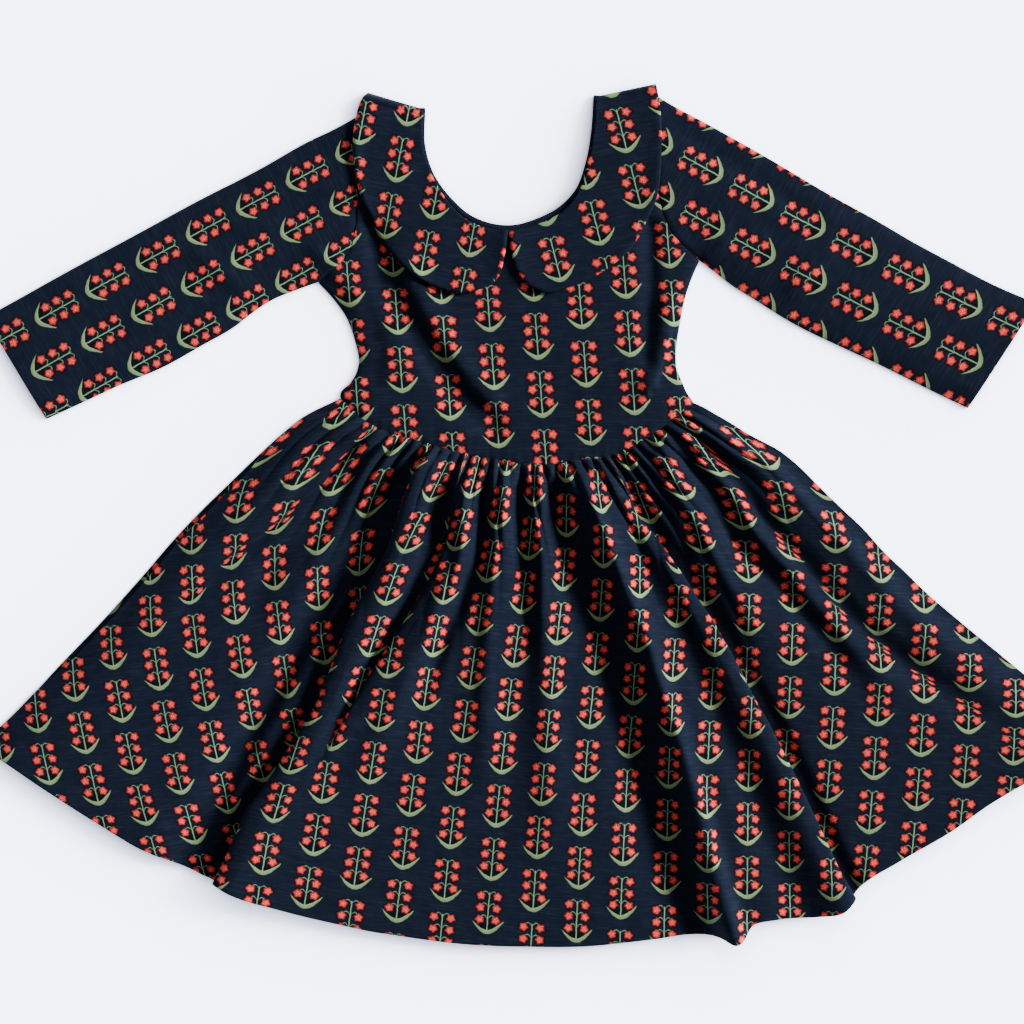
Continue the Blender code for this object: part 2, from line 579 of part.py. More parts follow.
def main():
    for obj in list(bpy.data.objects):
        bpy.data.objects.remove(obj, do_unlink=True)
    dress = bpy.data.collections.new("twirl_dress")
    bpy.context.scene.collection.children.link(dress)
    flat, faces = cut_sheet(bodice_outline(), PANEL_STEP)
    make_object("bodice_front", np.column_stack([flat, upper_height(flat)]), faces)
    flat_panel("bodice_back", bodice_outline(0.6))
    sleeve("sleeve_left", SLEEVE_LEFT_UPPER, SLEEVE_LEFT_LOWER, ARMHOLE_LEFT, "left")
    sleeve("sleeve_right", SLEEVE_RIGHT_UPPER, SLEEVE_RIGHT_LOWER, ARMHOLE_RIGHT, "right")
    collar("collar_left", COLLAR_LEFT, COLLAR_TOP_LEFT, (0.0, 0.476))
    collar("collar_right", COLLAR_RIGHT, COLLAR_TOP_RIGHT, (0.493, 1.0))
    neck_binding()
    skirt_front()
    skirt_back()


main()
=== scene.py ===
"""A child's twirl dress in printed jersey, laid flat and seen from straight above.

Lengths are in millimetres while a shape is worked out and become metres in the mesh. Every sheet of
cloth carries a UV map, "cloth", that gives its place on the printed fabric in millimetres: x runs
across the stems of the print and y runs up them.
"""

from __future__ import annotations

import logging
import math
from dataclasses import dataclass, field
from enum import Enum
from typing import Any, Sequence, Union

import bpy
import numpy as np
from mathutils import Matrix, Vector
from mathutils.geometry import delaunay_2d_cdt


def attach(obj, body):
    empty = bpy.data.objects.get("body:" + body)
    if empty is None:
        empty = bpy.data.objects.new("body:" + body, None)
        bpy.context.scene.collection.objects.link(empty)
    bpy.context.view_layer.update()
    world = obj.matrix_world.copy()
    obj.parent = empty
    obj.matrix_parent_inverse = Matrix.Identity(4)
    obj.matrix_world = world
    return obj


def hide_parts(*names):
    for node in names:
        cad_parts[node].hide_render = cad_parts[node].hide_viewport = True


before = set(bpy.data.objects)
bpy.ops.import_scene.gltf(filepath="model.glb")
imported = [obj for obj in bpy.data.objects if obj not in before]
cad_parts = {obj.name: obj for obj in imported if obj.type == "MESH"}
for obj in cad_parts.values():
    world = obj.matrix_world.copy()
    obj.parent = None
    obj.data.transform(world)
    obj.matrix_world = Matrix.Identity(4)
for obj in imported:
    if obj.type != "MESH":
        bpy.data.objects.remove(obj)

log = logging.getLogger("twirl_dress")
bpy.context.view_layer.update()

MM = 0.001
CLOTH = 1.2
SEAM = 0.3
LAYER = CLOTH + SEAM
BACK_Z = CLOTH / 2
FRONT_Z = BACK_Z + LAYER
EDGE_SPREAD = 14.0  # how fast the upper cloth rises from a pressed edge
BODICE_RISE = 3.8
CREASE_RELIEF = 1.45
NECK_SET_BACK = 4.7  # the bodice and the collar start this far outside the neck edge
UNDER_Z = 0.45  # middle of the back pieces
UNDER_WALL = 0.7
SPECULAR = 0.04
SHEEN = 0.012
SHEEN_ROUGHNESS = 0.5
Points = np.ndarray
Number = Union[float, "Value"]


def ease(value: Points) -> Points:
    """Return 0 below 0, 1 above 1 and a smooth step between."""
    value = np.clip(value, 0, 1)
    return value * value * (3 - 2 * value)


def mix(pair: Sequence[float], share: Points) -> Points:
    """Return the value at share of the way from pair's first value to its second."""
    return pair[0] + (pair[1] - pair[0]) * share


class Line:
    """A smooth curve through points, read by the share of its length."""

    def __init__(self, points: Sequence, smooth: bool = True) -> None:
        """Lay the curve.

        Args:
            points: the points that it passes, in order.
            smooth: whether it is rounded between them or made of straight runs.
        """
        p = np.asarray(points, float)
        gap = np.hypot(*np.diff(p, axis=0).T)[:, None]
        slope = np.diff(p, axis=0) / gap
        if len(p) > 2 and smooth:
            inner = (slope[:-1] * gap[1:] + slope[1:] * gap[:-1]) / (gap[:-1] + gap[1:])
            tangent = np.vstack([slope[:1], inner, slope[-1:]])
            t = np.linspace(0, 1, 16, endpoint=False)[None, :, None]
            a, b, h = p[:-1, None], p[1:, None], gap[:, None]
            ta, tb = tangent[:-1, None] * h, tangent[1:, None] * h
            curve = a * (1 + 2 * t) * (1 - t) ** 2 + ta * t * (1 - t) ** 2
            curve = curve + b * t**2 * (3 - 2 * t) + tb * t**2 * (t - 1)
            p = np.vstack([curve.reshape(-1, 2), p[-1:]])
        self.points = p
        run = np.concatenate([[0], np.cumsum(np.hypot(*np.diff(p, axis=0).T))])
        self.length = float(run[-1])
        self.run = run / run[-1]

    def at(self, share: Points) -> Points:
        """Return the points at these shares of the length."""
        share = np.asarray(share, float)
        return np.stack([np.interp(share, self.run, self.points[:, k]) for k in (0, 1)], -1)

    def beside(self, offset: float, count: int) -> Points:
        """Return count points of the curve moved offset to the left of its direction."""
        share = np.linspace(0, 1, count)
        step = self.at(np.minimum(share + 0.004, 1)) - self.at(np.maximum(share - 0.004, 0))
        step /= np.hypot(*step.T)[:, None]
        return self.at(share) + offset * np.stack([-step[:, 1], step[:, 0]], 1)


def between(points: Points, start: Points, end: Points) -> Line:
    """Return a path of straight runs through points, with its ends drawn to start and end."""
    share = np.linspace(0, 1, len(points))[:, None]
    points = points + (np.asarray(start) - points[0]) * (1 - share) ** 8
    return Line(points + (np.asarray(end) - points[-1]) * share**8, False)


def reach(points: Points, path: Sequence) -> tuple[Points, Points]:
    """Measure each point against a path of straight runs.

    Args:
        points: an array whose last axis is x, y.
        path: the corners of the path.

    Returns:
        The distances, and 1 or -1 for the left or right of the path's direction.
    """
    a, b = np.asarray(path[:-1], float), np.asarray(path[1:], float)
    best = np.full(points.shape[:-1], 1e9)
    sign = np.ones(points.shape[:-1])
    for start, step in zip(a, b - a):
        rel = points - start
        t = np.clip((rel @ step) / (step @ step), 0, 1)
        gap = np.hypot(*np.moveaxis(rel - t[..., None] * step, -1, 0))
        cross = step[0] * rel[..., 1] - step[1] * rel[..., 0]
        near = gap < best
        best = np.where(near, gap, best)
        sign = np.where(near, np.where(cross >= 0, 1.0, -1.0), sign)
    return best, sign


class Patch:
    """A sheet spanned between four edges: u runs from left to right, v from top to bottom."""

    def __init__(self, top: Line, bottom: Line, left: Line, right: Line) -> None:
        """Take the four edges."""
        self.top, self.bottom, self.left, self.right = top, bottom, left, right

    def at(self, u: Points, v: Points) -> Points:
        """Return the points of the sheet at u and v."""
        u, v = np.broadcast_arrays(np.asarray(u, float), np.asarray(v, float))
        uu, vv = u[..., None], v[..., None]
        edges = (1 - vv) * self.top.at(u) + vv * self.bottom.at(u)
        edges = edges + (1 - uu) * self.left.at(v) + uu * self.right.at(v)
        a, b = self.top.at(0.0), self.top.at(1.0)
        c, d = self.bottom.at(0.0), self.bottom.at(1.0)
        return edges - (1 - uu) * (1 - vv) * a - uu * (1 - vv) * b - (1 - uu) * vv * c - uu * vv * d

    def width(self, v: Points) -> Points:
        """Return the sheet's width at v."""
        return mix((self.top.length, self.bottom.length), v)

    def trace(self, path: Sequence) -> Points:
        """Return where a path's points lie, as rising v and the u of each."""
        u, v = np.meshgrid(np.linspace(0, 1, 801), np.linspace(0, 1, 401))
        grid = self.at(u, v)
        found = []
        for point in path:
            spot = np.argmin(((grid - point) ** 2).sum(-1))
            found.append((v.flat[spot], u.flat[spot]))
        found.sort()
        return np.array(found).T


@dataclass(frozen=True)
class Grain:
    """How the printed fabric lies on a piece, measured at one of its leaves."""

    at: tuple[float, float]  # the middle of the leaf
    stem: float  # degrees that its stem leans to the left of +Y
    row: float  # degrees that its row of sprigs climbs from +X
    size: tuple[float, float] = (1.0, 1.0)  # how far the cloth is stretched across the stems and along them
    bend: tuple[float, ...] = (0, 0, 0, 0, 0, 0)  # drift across, then along, for x*x, x*y, y*y at 100 mm

    def cloth(self, plan: Points) -> Points:
        """Return the places on the fabric, in millimetres of the print, of points in plan."""
        lean, climb = math.radians(self.stem), math.radians(self.row)
        ax, ay = self.size[0] * math.cos(climb), self.size[0] * math.sin(climb)
        ux, uy = -self.size[1] * math.sin(lean), self.size[1] * math.cos(lean)
        x, y = plan[..., 0] - self.at[0], plan[..., 1] - self.at[1]
        area = ax * uy - ay * ux
        far = np.stack([x * x, x * y, y * y]) / 1e4
        drift = np.tensordot(np.reshape(self.bend, (2, 3)), far, axes=1)
        return np.stack([(x * uy - y * ux) / area + drift[0], (ax * y - ay * x) / area + drift[1] + 4.0],
            -1)


@dataclass(frozen=True)
class Crease:
    """A soft fold of the bodice or a sleeve: a ridge, or a trough where the height is negative."""

    name: str
    path: tuple
    height: float
    left: float
    right: float


@dataclass(frozen=True)
class Fold:
    """One fold of the skirt. Pairs are values at the waist and at the hem."""

    name: str
    path: tuple
    fade: tuple[float, float]
    height: tuple[float, float]
    left: tuple[float, float]
    right: tuple[float, float]


@dataclass(frozen=True)
class Overlap:
    """A fold whose upper side hangs over the lower one. Pairs are values at the waist and at the hem."""

    name: str
    path: tuple
    side: int
    fade: tuple[float, float]
    rise: tuple[float, float]
    half_width: tuple[float, float]
    overhang: tuple[float, float]
    fall: float


@dataclass(frozen=True)
class Tuck:
    """A fold that hides some of the printed cloth, so that the print steps aside beyond it."""

    name: str
    path: tuple
    side: int  # -1 where the cloth to the left of the fold is the one that steps, 1 where the right is
    across: float  # millimetres of print at the top
    along: float
    fade: tuple[float, float]  # shares of the length between which the step shrinks to nothing


class Seams:
    """The dress's seam lines and edges, each from left to right or from top to bottom."""

    NECK = ((-92, 317), (-92, 289), (-85, 266), (-72, 248), (-56, 234), (-41, 228), (-24, 226.5),
        (-5, 231.5), (13, 241), (25.5, 254.5), (33, 274.5), (37.5, 299), (39.5, 327))
    WAIST = ((-158, 90), (-140, 74), (-108, 60), (-81, 53), (-60, 47), (-39, 43), (-12, 39.5), (9, 39.5),
        (28, 43), (49, 45), (65, 50), (80, 59), (103, 75), (118, 87))
    SIDE_LEFT = ((-176, 182), (-164, 169), (-154, 155), (-147, 136), (-144, 120), (-146, 111),
        (-151, 103), (-158, 96), (-159, 91))
    SIDE_RIGHT = ((122.5, 199), (116, 184), (111, 169), (108, 154), (104, 124), (104.5, 115),
        (108.5, 105), (113, 95), (118, 88))
    ARMHOLE_LEFT = ((-137, 322), (-142, 290), (-145, 250), (-147, 222), (-151, 207), (-162, 193),
        (-176, 182))
    ARMHOLE_RIGHT = ((86, 330), (88, 292), (90, 254), (94, 237), (101, 221), (110, 211), (122.5, 199))
    SHOULDER_LEFT = ((-137, 322), (-96.7, 313))
    SHOULDER_RIGHT = ((44.2, 324), (86, 331))
    SLEEVE_LEFT_UPPER = ((-436, 155), (-424, 161.5), (-372, 190.5), (-321, 218), (-258, 252),
        (-238, 262), (-220, 271.5), (-182, 293), (-165, 301), (-152, 308), (-144, 313), (-137, 322))
    SLEEVE_LEFT_LOWER = ((-388, 75), (-351, 92), (-334, 100), (-296, 116), (-267.5, 132), (-240, 148),
        (-230, 156), (-212, 168), (-194, 175.5), (-176, 182))
    SLEEVE_RIGHT_UPPER = ((385.5, 166), (353, 180), (316, 199.5), (290, 213.5), (261, 230.5), (222, 252),
        (180, 277), (134, 303), (93, 325.5), (86, 330))
    SLEEVE_RIGHT_LOWER = ((332, 83.5), (298, 100), (262, 118), (234, 131), (197, 149), (163, 170),
        (150, 178), (135, 189.5), (122.5, 199))
    COLLAR_LEFT = ((-137, 330), (-141, 325), (-147, 304), (-147, 271), (-142, 248), (-135, 233),
        (-124, 210), (-105, 190), (-85, 178), (-67, 173), (-49, 176), (-36, 184), (-30, 202),
        (-27.4, 221.6))
    COLLAR_RIGHT = ((88, 338), (90, 327), (92, 279), (88, 246), (80, 228), (70, 210), (47, 190),
        (19, 177), (4, 173), (-12, 180), (-20, 190), (-24, 202), (-26.6, 221.6))
    COLLAR_TOP_LEFT = ((-137, 330), (-92, 317))
    COLLAR_TOP_RIGHT = ((39.5, 327), (88, 338))
    SKIRT_LEFT = ((-159, 91), (-190, 75), (-200, 67), (-243.5, 26.5), (-283.5, -13.5), (-316, -51),
        (-349, -87.5), (-375.5, -115), (-421, -163), (-440.5, -180))
    SKIRT_RIGHT = ((118, 87), (140, 75.5), (162, 62), (186, 49), (200, 37.5), (215, 22.5), (234, 4),
        (250, -11), (266, -29), (284, -46), (296, -58), (319, -78), (353, -106), (376, -125),
        (440, -179))
    HEM = ((-440.5, -180), (-424, -190), (-388, -214), (-344, -242), (-311, -261.5), (-281, -273.5),
        (-260.5, -283), (-245, -293), (-232.5, -298.5), (-211, -305), (-186, -312), (-163, -317.5),
        (-136.5, -323.5), (-111.5, -327.5), (-61.5, -334), (-11.5, -336), (38, -335.5), (63, -333),
        (88, -330), (113, -327), (138, -328.5), (150, -333), (156, -329.5), (162.5, -320), (182, -315),
        (213, -313), (233, -309), (249, -288), (276.5, -270.5), (318, -246.5), (348.5, -225),
        (375.5, -209), (440, -179))


CREASES = (
    Crease("left diagonal trough", ((-132, 222), (-118, 173), (-88, 127), (-66, 93), (-42, 72)), -3.4, 9,
        11),
    Crease("left diagonal ridge", ((-104, 190), (-88, 152), (-64, 117), (-42, 92)), 2.0, 11, 9),
    Crease("right vertical trough", ((83, 225), (84, 170), (82, 120)), -2.6, 7, 7),
    Crease("right side fold", ((101, 160), (98, 138), (91, 116), (86, 102)), 4.5, 3.0, 12),
    Crease("left side crease", ((-140, 160), (-128, 128), (-132, 108)), -1.2, 7, 7),
    Crease("left armpit fold", ((-176, 205), (-152, 178), (-140, 150)), 1.4, 7, 7),
    Crease("right sleeve trough", ((108, 303), (160, 268), (213, 234)), -1.6, 9, 9),
    Crease("right armpit fold", ((140, 212), (112, 192), (104, 168)), 1.3, 6, 7),
    Crease("left elbow fold", ((-232, 176), (-252, 190), (-268, 204)), 1.0, 8, 8),
    Crease("right elbow fold", ((196, 176), (206, 190), (222, 204)), 1.0, 8, 8),
)


def upper_height(points: Points) -> Points:
    """Return the height of the middle of the upper cloth of the bodice and the sleeves."""
    edges = (Seams.SIDE_LEFT, Seams.SIDE_RIGHT, Seams.SLEEVE_LEFT_UPPER, Seams.SLEEVE_LEFT_LOWER,
        Seams.SLEEVE_RIGHT_UPPER, Seams.SLEEVE_RIGHT_LOWER, Seams.SHOULDER_LEFT, Seams.SHOULDER_RIGHT)
    near = np.min([reach(points, edge)[0] for edge in edges], axis=0)
    inner = 1 - np.exp(-near / EDGE_SPREAD)
    rise = BODICE_RISE * np.ones(points.shape[:-1])
    for crease in CREASES:
        gap, sign = reach(points, crease.path)
        flank = np.where(sign > 0, crease.left, crease.right)
        rise = rise + CREASE_RELIEF * crease.height * np.exp(-((gap / flank) ** 2))
    return FRONT_Z + 0.2 + inner * 0.5 * (rise + np.sqrt(rise**2 + 0.3))


class Value:
    """A shader socket's number, to which Python's operators add Math nodes."""

    def __init__(self, board: "Board", socket: Any) -> None:
        """Wrap a socket of the board's tree."""
        self.board, self.socket = board, socket

    def math(self, operation: str, *others: Number) -> "Value":
        """Return a Math node of this value and the others."""
        return self.board.node("ShaderNodeMath", {"operation": operation}, dict(enumerate((self, *others))))

    def __add__(self, other: Number) -> "Value":
        """Return the sum."""
        return self.math("ADD", other)

    __radd__ = __add__

    def __sub__(self, other: Number) -> "Value":
        """Return the difference."""
        return self.math("SUBTRACT", other)

    def __rsub__(self, other: Number) -> "Value":
        """Return other less this value."""
        return (self * -1.0) + other

    def __mul__(self, other: Number) -> "Value":
        """Return the product."""
        return self.math("MULTIPLY", other)

    __rmul__ = __mul__

    def __truediv__(self, other: Number) -> "Value":
        """Return the quotient."""
        return self.math("DIVIDE", other)

    def __abs__(self) -> "Value":
        """Return the size without its sign."""
        return self.math("ABSOLUTE")

    def floor(self) -> "Value":
        """Return the whole number at or below."""
        return self.math("FLOOR")

    def low(self, other: Number) -> "Value":
        """Return the smaller of the two."""
        return self.math("MINIMUM", other)

    def high(self, other: Number) -> "Value":
        """Return the larger of the two."""
        return self.math("MAXIMUM", other)

    def power(self, other: Number) -> "Value":
        """Return this value raised to a power."""
        return self.math("POWER", other)

    def step(self, start: float, end: float) -> "Value":
        """Return a smooth step from 0 at start to 1 at end; end may be the lower one."""
        flip = end < start
        settings = {"interpolation_type": "SMOOTHSTEP"}
        inputs = {"Value": self, "From Min": min(start, end), "From Max": max(start, end)}
        inputs.update({"To Min": 1.0 if flip else 0.0, "To Max": 0.0 if flip else 1.0})
        return self.board.node("ShaderNodeMapRange", settings, inputs)


class Board:
    """A material's node tree, with one way to add a node."""

    def __init__(self, name: str) -> None:
        """Start a material of this name with a Principled shader."""
        self.material = bpy.data.materials.new(name)
        self.material.use_nodes = True
        self.tree = self.material.node_tree
        self.shader = self.tree.nodes["Principled BSDF"]

    def node(self, kind: str, settings: dict[str, Any], inputs: dict[Any, Any], output: Any = 0) -> Value:
        """Add a node.

        Args:
            kind: the node's type.
            settings: its settings, which are made first.
            inputs: the values or links of its sockets, by name or number.
            output: which of its outputs is wanted.

        Returns:
            The output, ready for more maths.
        """
        made = self.tree.nodes.new(kind)
        for key, value in settings.items():
            setattr(made, key, value)
        for key, value in inputs.items():
            self.feed(made.inputs[key], value)
        return Value(self, made.outputs[output])

    def feed(self, socket: Any, value: Any) -> None:
        """Link a value to a socket, or set it where it is a constant."""
        if isinstance(value, Value):
            self.tree.links.new(value.socket, socket)
        else:
            socket.default_value = value

    def blend(self, share: Number, first: Any, second: Any) -> Value:
        """Return a colour that goes from first to second as share goes from 0 to 1."""
        settings = {"data_type": "RGBA"}
        return self.node("ShaderNodeMix", settings, {0: share, 6: first, 7: second}, 2)

    def noise(self, vector: Any, scale: float, detail: float = 2.0, rough: float = 0.5) -> Value:
        """Return a noise of 0 to 1 at vector."""
        inputs = {"Vector": vector, "Scale": scale, "Detail": detail, "Roughness": rough}
        return self.node("ShaderNodeTexNoise", {}, inputs, "Fac")

    def vector(self, x: Number, y: Number, z: Number = 0.0) -> Value:
        """Return a vector of three numbers."""
        return self.node("ShaderNodeCombineXYZ", {}, {0: x, 1: y, 2: z})

    def cloth(self) -> tuple[Value, Value, Value]:
        """Return the place on the fabric as a vector and its x and y."""
        place = self.node("ShaderNodeUVMap", {"uv_map": "cloth"}, {})
        apart = self.node("ShaderNodeSeparateXYZ", {}, {0: place})
        return place, apart, Value(self, apart.socket.node.outputs[1])

    def finish(self, color: Any, rough: Any, bump: Any, depth: float) -> bpy.types.Material:
        """Join the parts of a cloth finish to the shader and return the material."""
        self.feed(self.shader.inputs["Base Color"], color)
        self.feed(self.shader.inputs["Roughness"], rough)
        self.shader.inputs["Sheen Weight"].default_value = SHEEN
        self.shader.inputs["Sheen Roughness"].default_value = SHEEN_ROUGHNESS
        self.shader.inputs["Specular IOR Level"].default_value = SPECULAR
        normal = self.node("ShaderNodeBump", {}, {"Height": bump, "Distance": depth, "Strength": 1.0})
        self.feed(self.shader.inputs["Normal"], normal)
        return self.material


@dataclass(frozen=True)
class JerseyFinish:
    """Fine cotton jersey: its ground colour, knit and soft bloom."""

    name: str
    ground: tuple[float, float, float] = (0.0036, 0.0066, 0.0150)
    streak: tuple[float, float, float] = (0.0120, 0.0160, 0.0290)
    dark: tuple[float, float, float] = (0.0015, 0.0030, 0.0070)
    wale: float = 0.75  # width of one rib of the knit
    course: float = 0.55

    def knit(self, board: Board, place: Value, x: Value, y: Value) -> tuple[Value, Value]:
        """Return the knit's height and the streaks of its yarn, each from 0 to 1."""
        rib = abs((x * (math.pi / self.wale)).math("SINE"))
        loop = abs((y * (math.pi / self.course) + rib * 1.2).math("SINE"))
        streaks = board.noise(board.vector(x * 0.045, y * 0.75), 1.0, 3.0, 0.6)
        return rib * 0.6 + loop * 0.4, streaks

    def cloth_ground(self, board: Board, streaks: Value, soft: Value) -> Value:
        """Return the ground's colour, with lighter courses here and there."""
        base = board.blend(streaks.step(0.46, 0.74) * 0.75, (*self.ground, 1), (*self.streak, 1))
        return board.blend(soft.step(0.35, 0.7) * 0.22, base, (*self.dark, 1))

    def plain(self) -> bpy.types.Material:
        """Return the unprinted jersey of the binding."""
        board = Board(self.name)
        place, x, y = board.cloth()
        knit, streaks = self.knit(board, place, x, y)
        soft = board.noise(place, 0.11)
        rough = 0.82 + soft * 0.14
        return board.finish(self.cloth_ground(board, streaks, soft), rough, knit, 0.00004)


@dataclass(frozen=True)
class SprigPrint(JerseyFinish):
    """The jersey's print: sprigs of paired blossoms over a curved leaf, in a half-drop repeat."""

    column: float = 36.2
    repeat: float = 45.3
    coral: tuple[float, float, float] = (0.53, 0.034, 0.040)
    rim: tuple[float, float, float] = (0.115, 0.0050, 0.0085)
    light: tuple[float, float, float] = (0.98, 0.26, 0.125)
    leaf_green: tuple[float, float, float] = (0.120, 0.172, 0.082)
    leaf_light: tuple[float, float, float] = (0.205, 0.285, 0.140)
    stem_green: tuple[float, float, float] = (0.105, 0.245, 0.160)
    shade: tuple[float, float, float] = (0.0010, 0.0022, 0.0024)

    def sprig(self, board: Board, x: Value, y: Value) -> dict[str, Value]:
        """Draw one repeat of the print.

        Args:
            board: the material's tree.
            x: place across the stems.
            y: place up the stems.

        Returns:
            Masks of 0 to 1: blossom, rim, heart, stem, leaf, leaf_light and shade.
        """
        column = (x / self.column + 0.5).floor()
        side = x - column * self.column
        odd = column - (column / 2.0).floor() * 2.0
        rise = y - odd * (self.repeat / 2)
        row = ((rise + 4.5) / self.repeat).floor()
        up = rise - row * self.repeat
        settings = {"noise_dimensions": "2D"}
        spot = {"Vector": board.vector(column, row)}
        chance = board.node("ShaderNodeTexWhiteNoise", settings, spot, "Value")
        wobble = board.noise(board.vector(x, y), 0.32, 1.0) - 0.5
        side = side + wobble * 0.9
        up = up + (board.noise(board.vector(y, x), 0.3, 1.0) - 0.5) * 0.9
        out = abs(side)
        tier = ((up - 7.0) / 10.1).floor().high(0.0).low(2.0)
        high = up - (tier * 10.1 + 12.0)
        wide = out - 6.5 - tier * 0.12
        far = (wide * wide + high * high).math("SQRT")
        angle = high.math("ARCTAN2", wide) + tier * 1.1 + chance * 3.0
        petals = (angle * 5.0).math("COSINE")
        edge = far - (petals * 0.5 + 3.5)
        blossom = edge.step(0.35, -0.35)
        heart = far.step(3.3, 1.6) * board.noise(board.vector(x, y), 1.25, 2.0, 0.7).step(0.53, 0.61)
        stem = out.step(0.62, 0.3) * up.step(2.2, 3.0) * up.step(35.8, 34.6)
        arch = high + (out - 3.4) * (out - 3.4) * 0.30 - 3.9
        stalk = abs(arch).step(0.55, 0.15) * 0.8 * out.step(6.2, 5.2) * tier.step(-0.5, 0.0)
        stalk = stalk * up.step(9.0, 10.0) * up.step(38.0, 37.2)
        spread = out / 13.0
        bottom = spread.power(1.9) * 11.4
        top = spread.power(1.55) * 8.4 + 3.3 + side * 0.055
        leaf = (up - bottom).step(-0.3, 0.35) * (top - up).step(-0.3, 0.35) * spread.step(1.01, 0.97)
        leaf_light = ((up - bottom) / (top - bottom + 0.01)).step(0.35, 0.95)
        shade = edge.step(2.1, 0.3).high((top - up).step(0.6, -0.3) * up.step(13.0, 8.0) * out.step(10.5,
                7.5))
        shade = shade.high((out - 0.2).step(2.2, 0.6) * up.step(1.0, 3.0) * up.step(37.0, 34.0))
        masks = {"blossom": blossom, "rim": edge.step(-2.3, -0.1), "heart": heart}
        masks.update({"stem": stem.high(stalk), "leaf": leaf, "leaf_light": leaf_light, "shade": shade})
        return masks

    def printed(self) -> bpy.types.Material:
        """Return the printed jersey."""
        board = Board(self.name)
        place, x, y = board.cloth()
        knit, streaks = self.knit(board, place, x, y)
        soft = board.noise(place, 0.11)
        masks = self.sprig(board, x, y)
        color = self.cloth_ground(board, streaks, soft)
        color = board.blend(masks["shade"] * 0.8, color, (*self.shade, 1))
        stem = board.blend(soft, (*self.stem_green, 1), (*self.leaf_light, 1))
        color = board.blend(masks["stem"] * 0.9, color, stem)
        leaf = board.blend(masks["leaf_light"] * 0.6 + streaks * 0.4, (*self.leaf_green, 1),
            (*self.leaf_light, 1))
        color = board.blend(masks["leaf"], color, leaf)
        petal = board.blend(masks["rim"] * 0.85, (*self.coral, 1), (*self.rim, 1))
        petal = board.blend(masks["heart"] * 0.85, petal, (*self.light, 1))
        color = board.blend(masks["blossom"], color, petal)
        rough = 0.84 + soft * 0.12 - masks["blossom"] * 0.06
        creases = board.noise(board.vector(x * 0.8, y * 0.5), 0.05, 3.0, 0.55)
        height = knit * 0.02 + creases
        return board.finish(color, rough, height, 0.0011)


@dataclass(frozen=True)
class PaperFinish:
    """The overexposed white surface that the dress lies on: it glows, and the glow is dimmed close to the
    cloth as a painted shadow of the dress.
    """

    name: str = "white_surface"
    tint: tuple[float, float, float] = (0.90, 0.915, 0.95)
    glow: float = 6.0

    def made(self) -> bpy.types.Material:
        """Return the surface's material."""
        board = Board(self.name)
        place = board.node("ShaderNodeTexCoord", {}, {}, "Object")
        grain = board.noise(place, 60.0, 4.0)
        board.feed(board.shader.inputs["Base Color"], (*self.tint, 1))
        board.feed(board.shader.inputs["Roughness"], 0.75 + grain * 0.15)
        # Painted shadow: ambient occlusion tilted toward the window dims the floor's glow beside the dress,
        # darkest on its left.
        toward = board.vector(0.62, 0.16, 0.77)
        painted_shadow_ao = board.node("ShaderNodeAmbientOcclusion", {"samples": 12},
            {"Distance": 0.08, "Normal": toward}, "AO")
        glow = board.blend(painted_shadow_ao.power(3.0), (0.03, 0.032, 0.036, 1), (0.70, 0.77, 1.0, 1))
        board.feed(board.shader.inputs["Emission Color"], glow)
        board.shader.inputs["Emission Strength"].default_value = self.glow
        normal = board.node("ShaderNodeBump", {}, {"Height": grain, "Distance": 0.0001})
        board.feed(board.shader.inputs["Normal"], normal)
        return board.material


class Held(Enum):
    """How a sheet of cloth is held."""

    LAID = "laid"
    GATHERED = "gathered"


@dataclass
class Sheet:
    """A cut piece of cloth: what it stands for, what it lies on, and the size it was cut to."""

    name: str
    node: str
    flat: tuple[float, float]
    area: float
    rests_on: tuple[str, ...]
    held: Held = Held.LAID
    slot: str = "printed_jersey"

    def make(self, points: Points, faces: Sequence, cloth: Points, finish: bpy.types.Material,
        wall: float = 0.0) -> bpy.types.Object:
        """Make the piece's object.

        Args:
            points: its points, in millimetres.
            faces: the corners of each face.
            cloth: each point's place on the printed fabric.
            finish: its material.
            wall: thickness in millimetres where the sheet is given one.

        Returns:
            The object, which replaces its CAD node.
        """
        mesh = bpy.data.meshes.new(self.name)
        points = np.asarray(points, float)
        faces = np.asarray(faces, int)
        corners = faces.shape[1]
        mesh.vertices.add(len(points))
        mesh.vertices.foreach_set("co", (points * MM).ravel())
        mesh.loops.add(faces.size)
        mesh.loops.foreach_set("vertex_index", faces.ravel())
        mesh.polygons.add(len(faces))
        mesh.polygons.foreach_set("loop_start", np.arange(0, faces.size, corners))
        mesh.polygons.foreach_set("loop_total", np.full(len(faces), corners))
        layer = mesh.uv_layers.new(name="cloth")
        layer.data.foreach_set("uv", np.asarray(cloth, float)[faces.ravel()].ravel())
        mesh.update(calc_edges=True)
        mesh.validate()
        mesh.shade_smooth()
        piece = bpy.data.objects.new(self.name, mesh)
        bpy.context.scene.collection.objects.link(piece)
        mesh.materials.append(finish)
        if wall:
            solid = piece.modifiers.new("wall", "SOLIDIFY")
            solid.thickness = wall * MM
            solid.offset = 0
        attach(piece, "root")
        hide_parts(self.node)
        size = sum(p.area for p in mesh.polygons)
        log.info("%s: %d faces, cloth %.4f m2, cut %.4f m2", self.name, len(faces), size, self.area)
        return piece


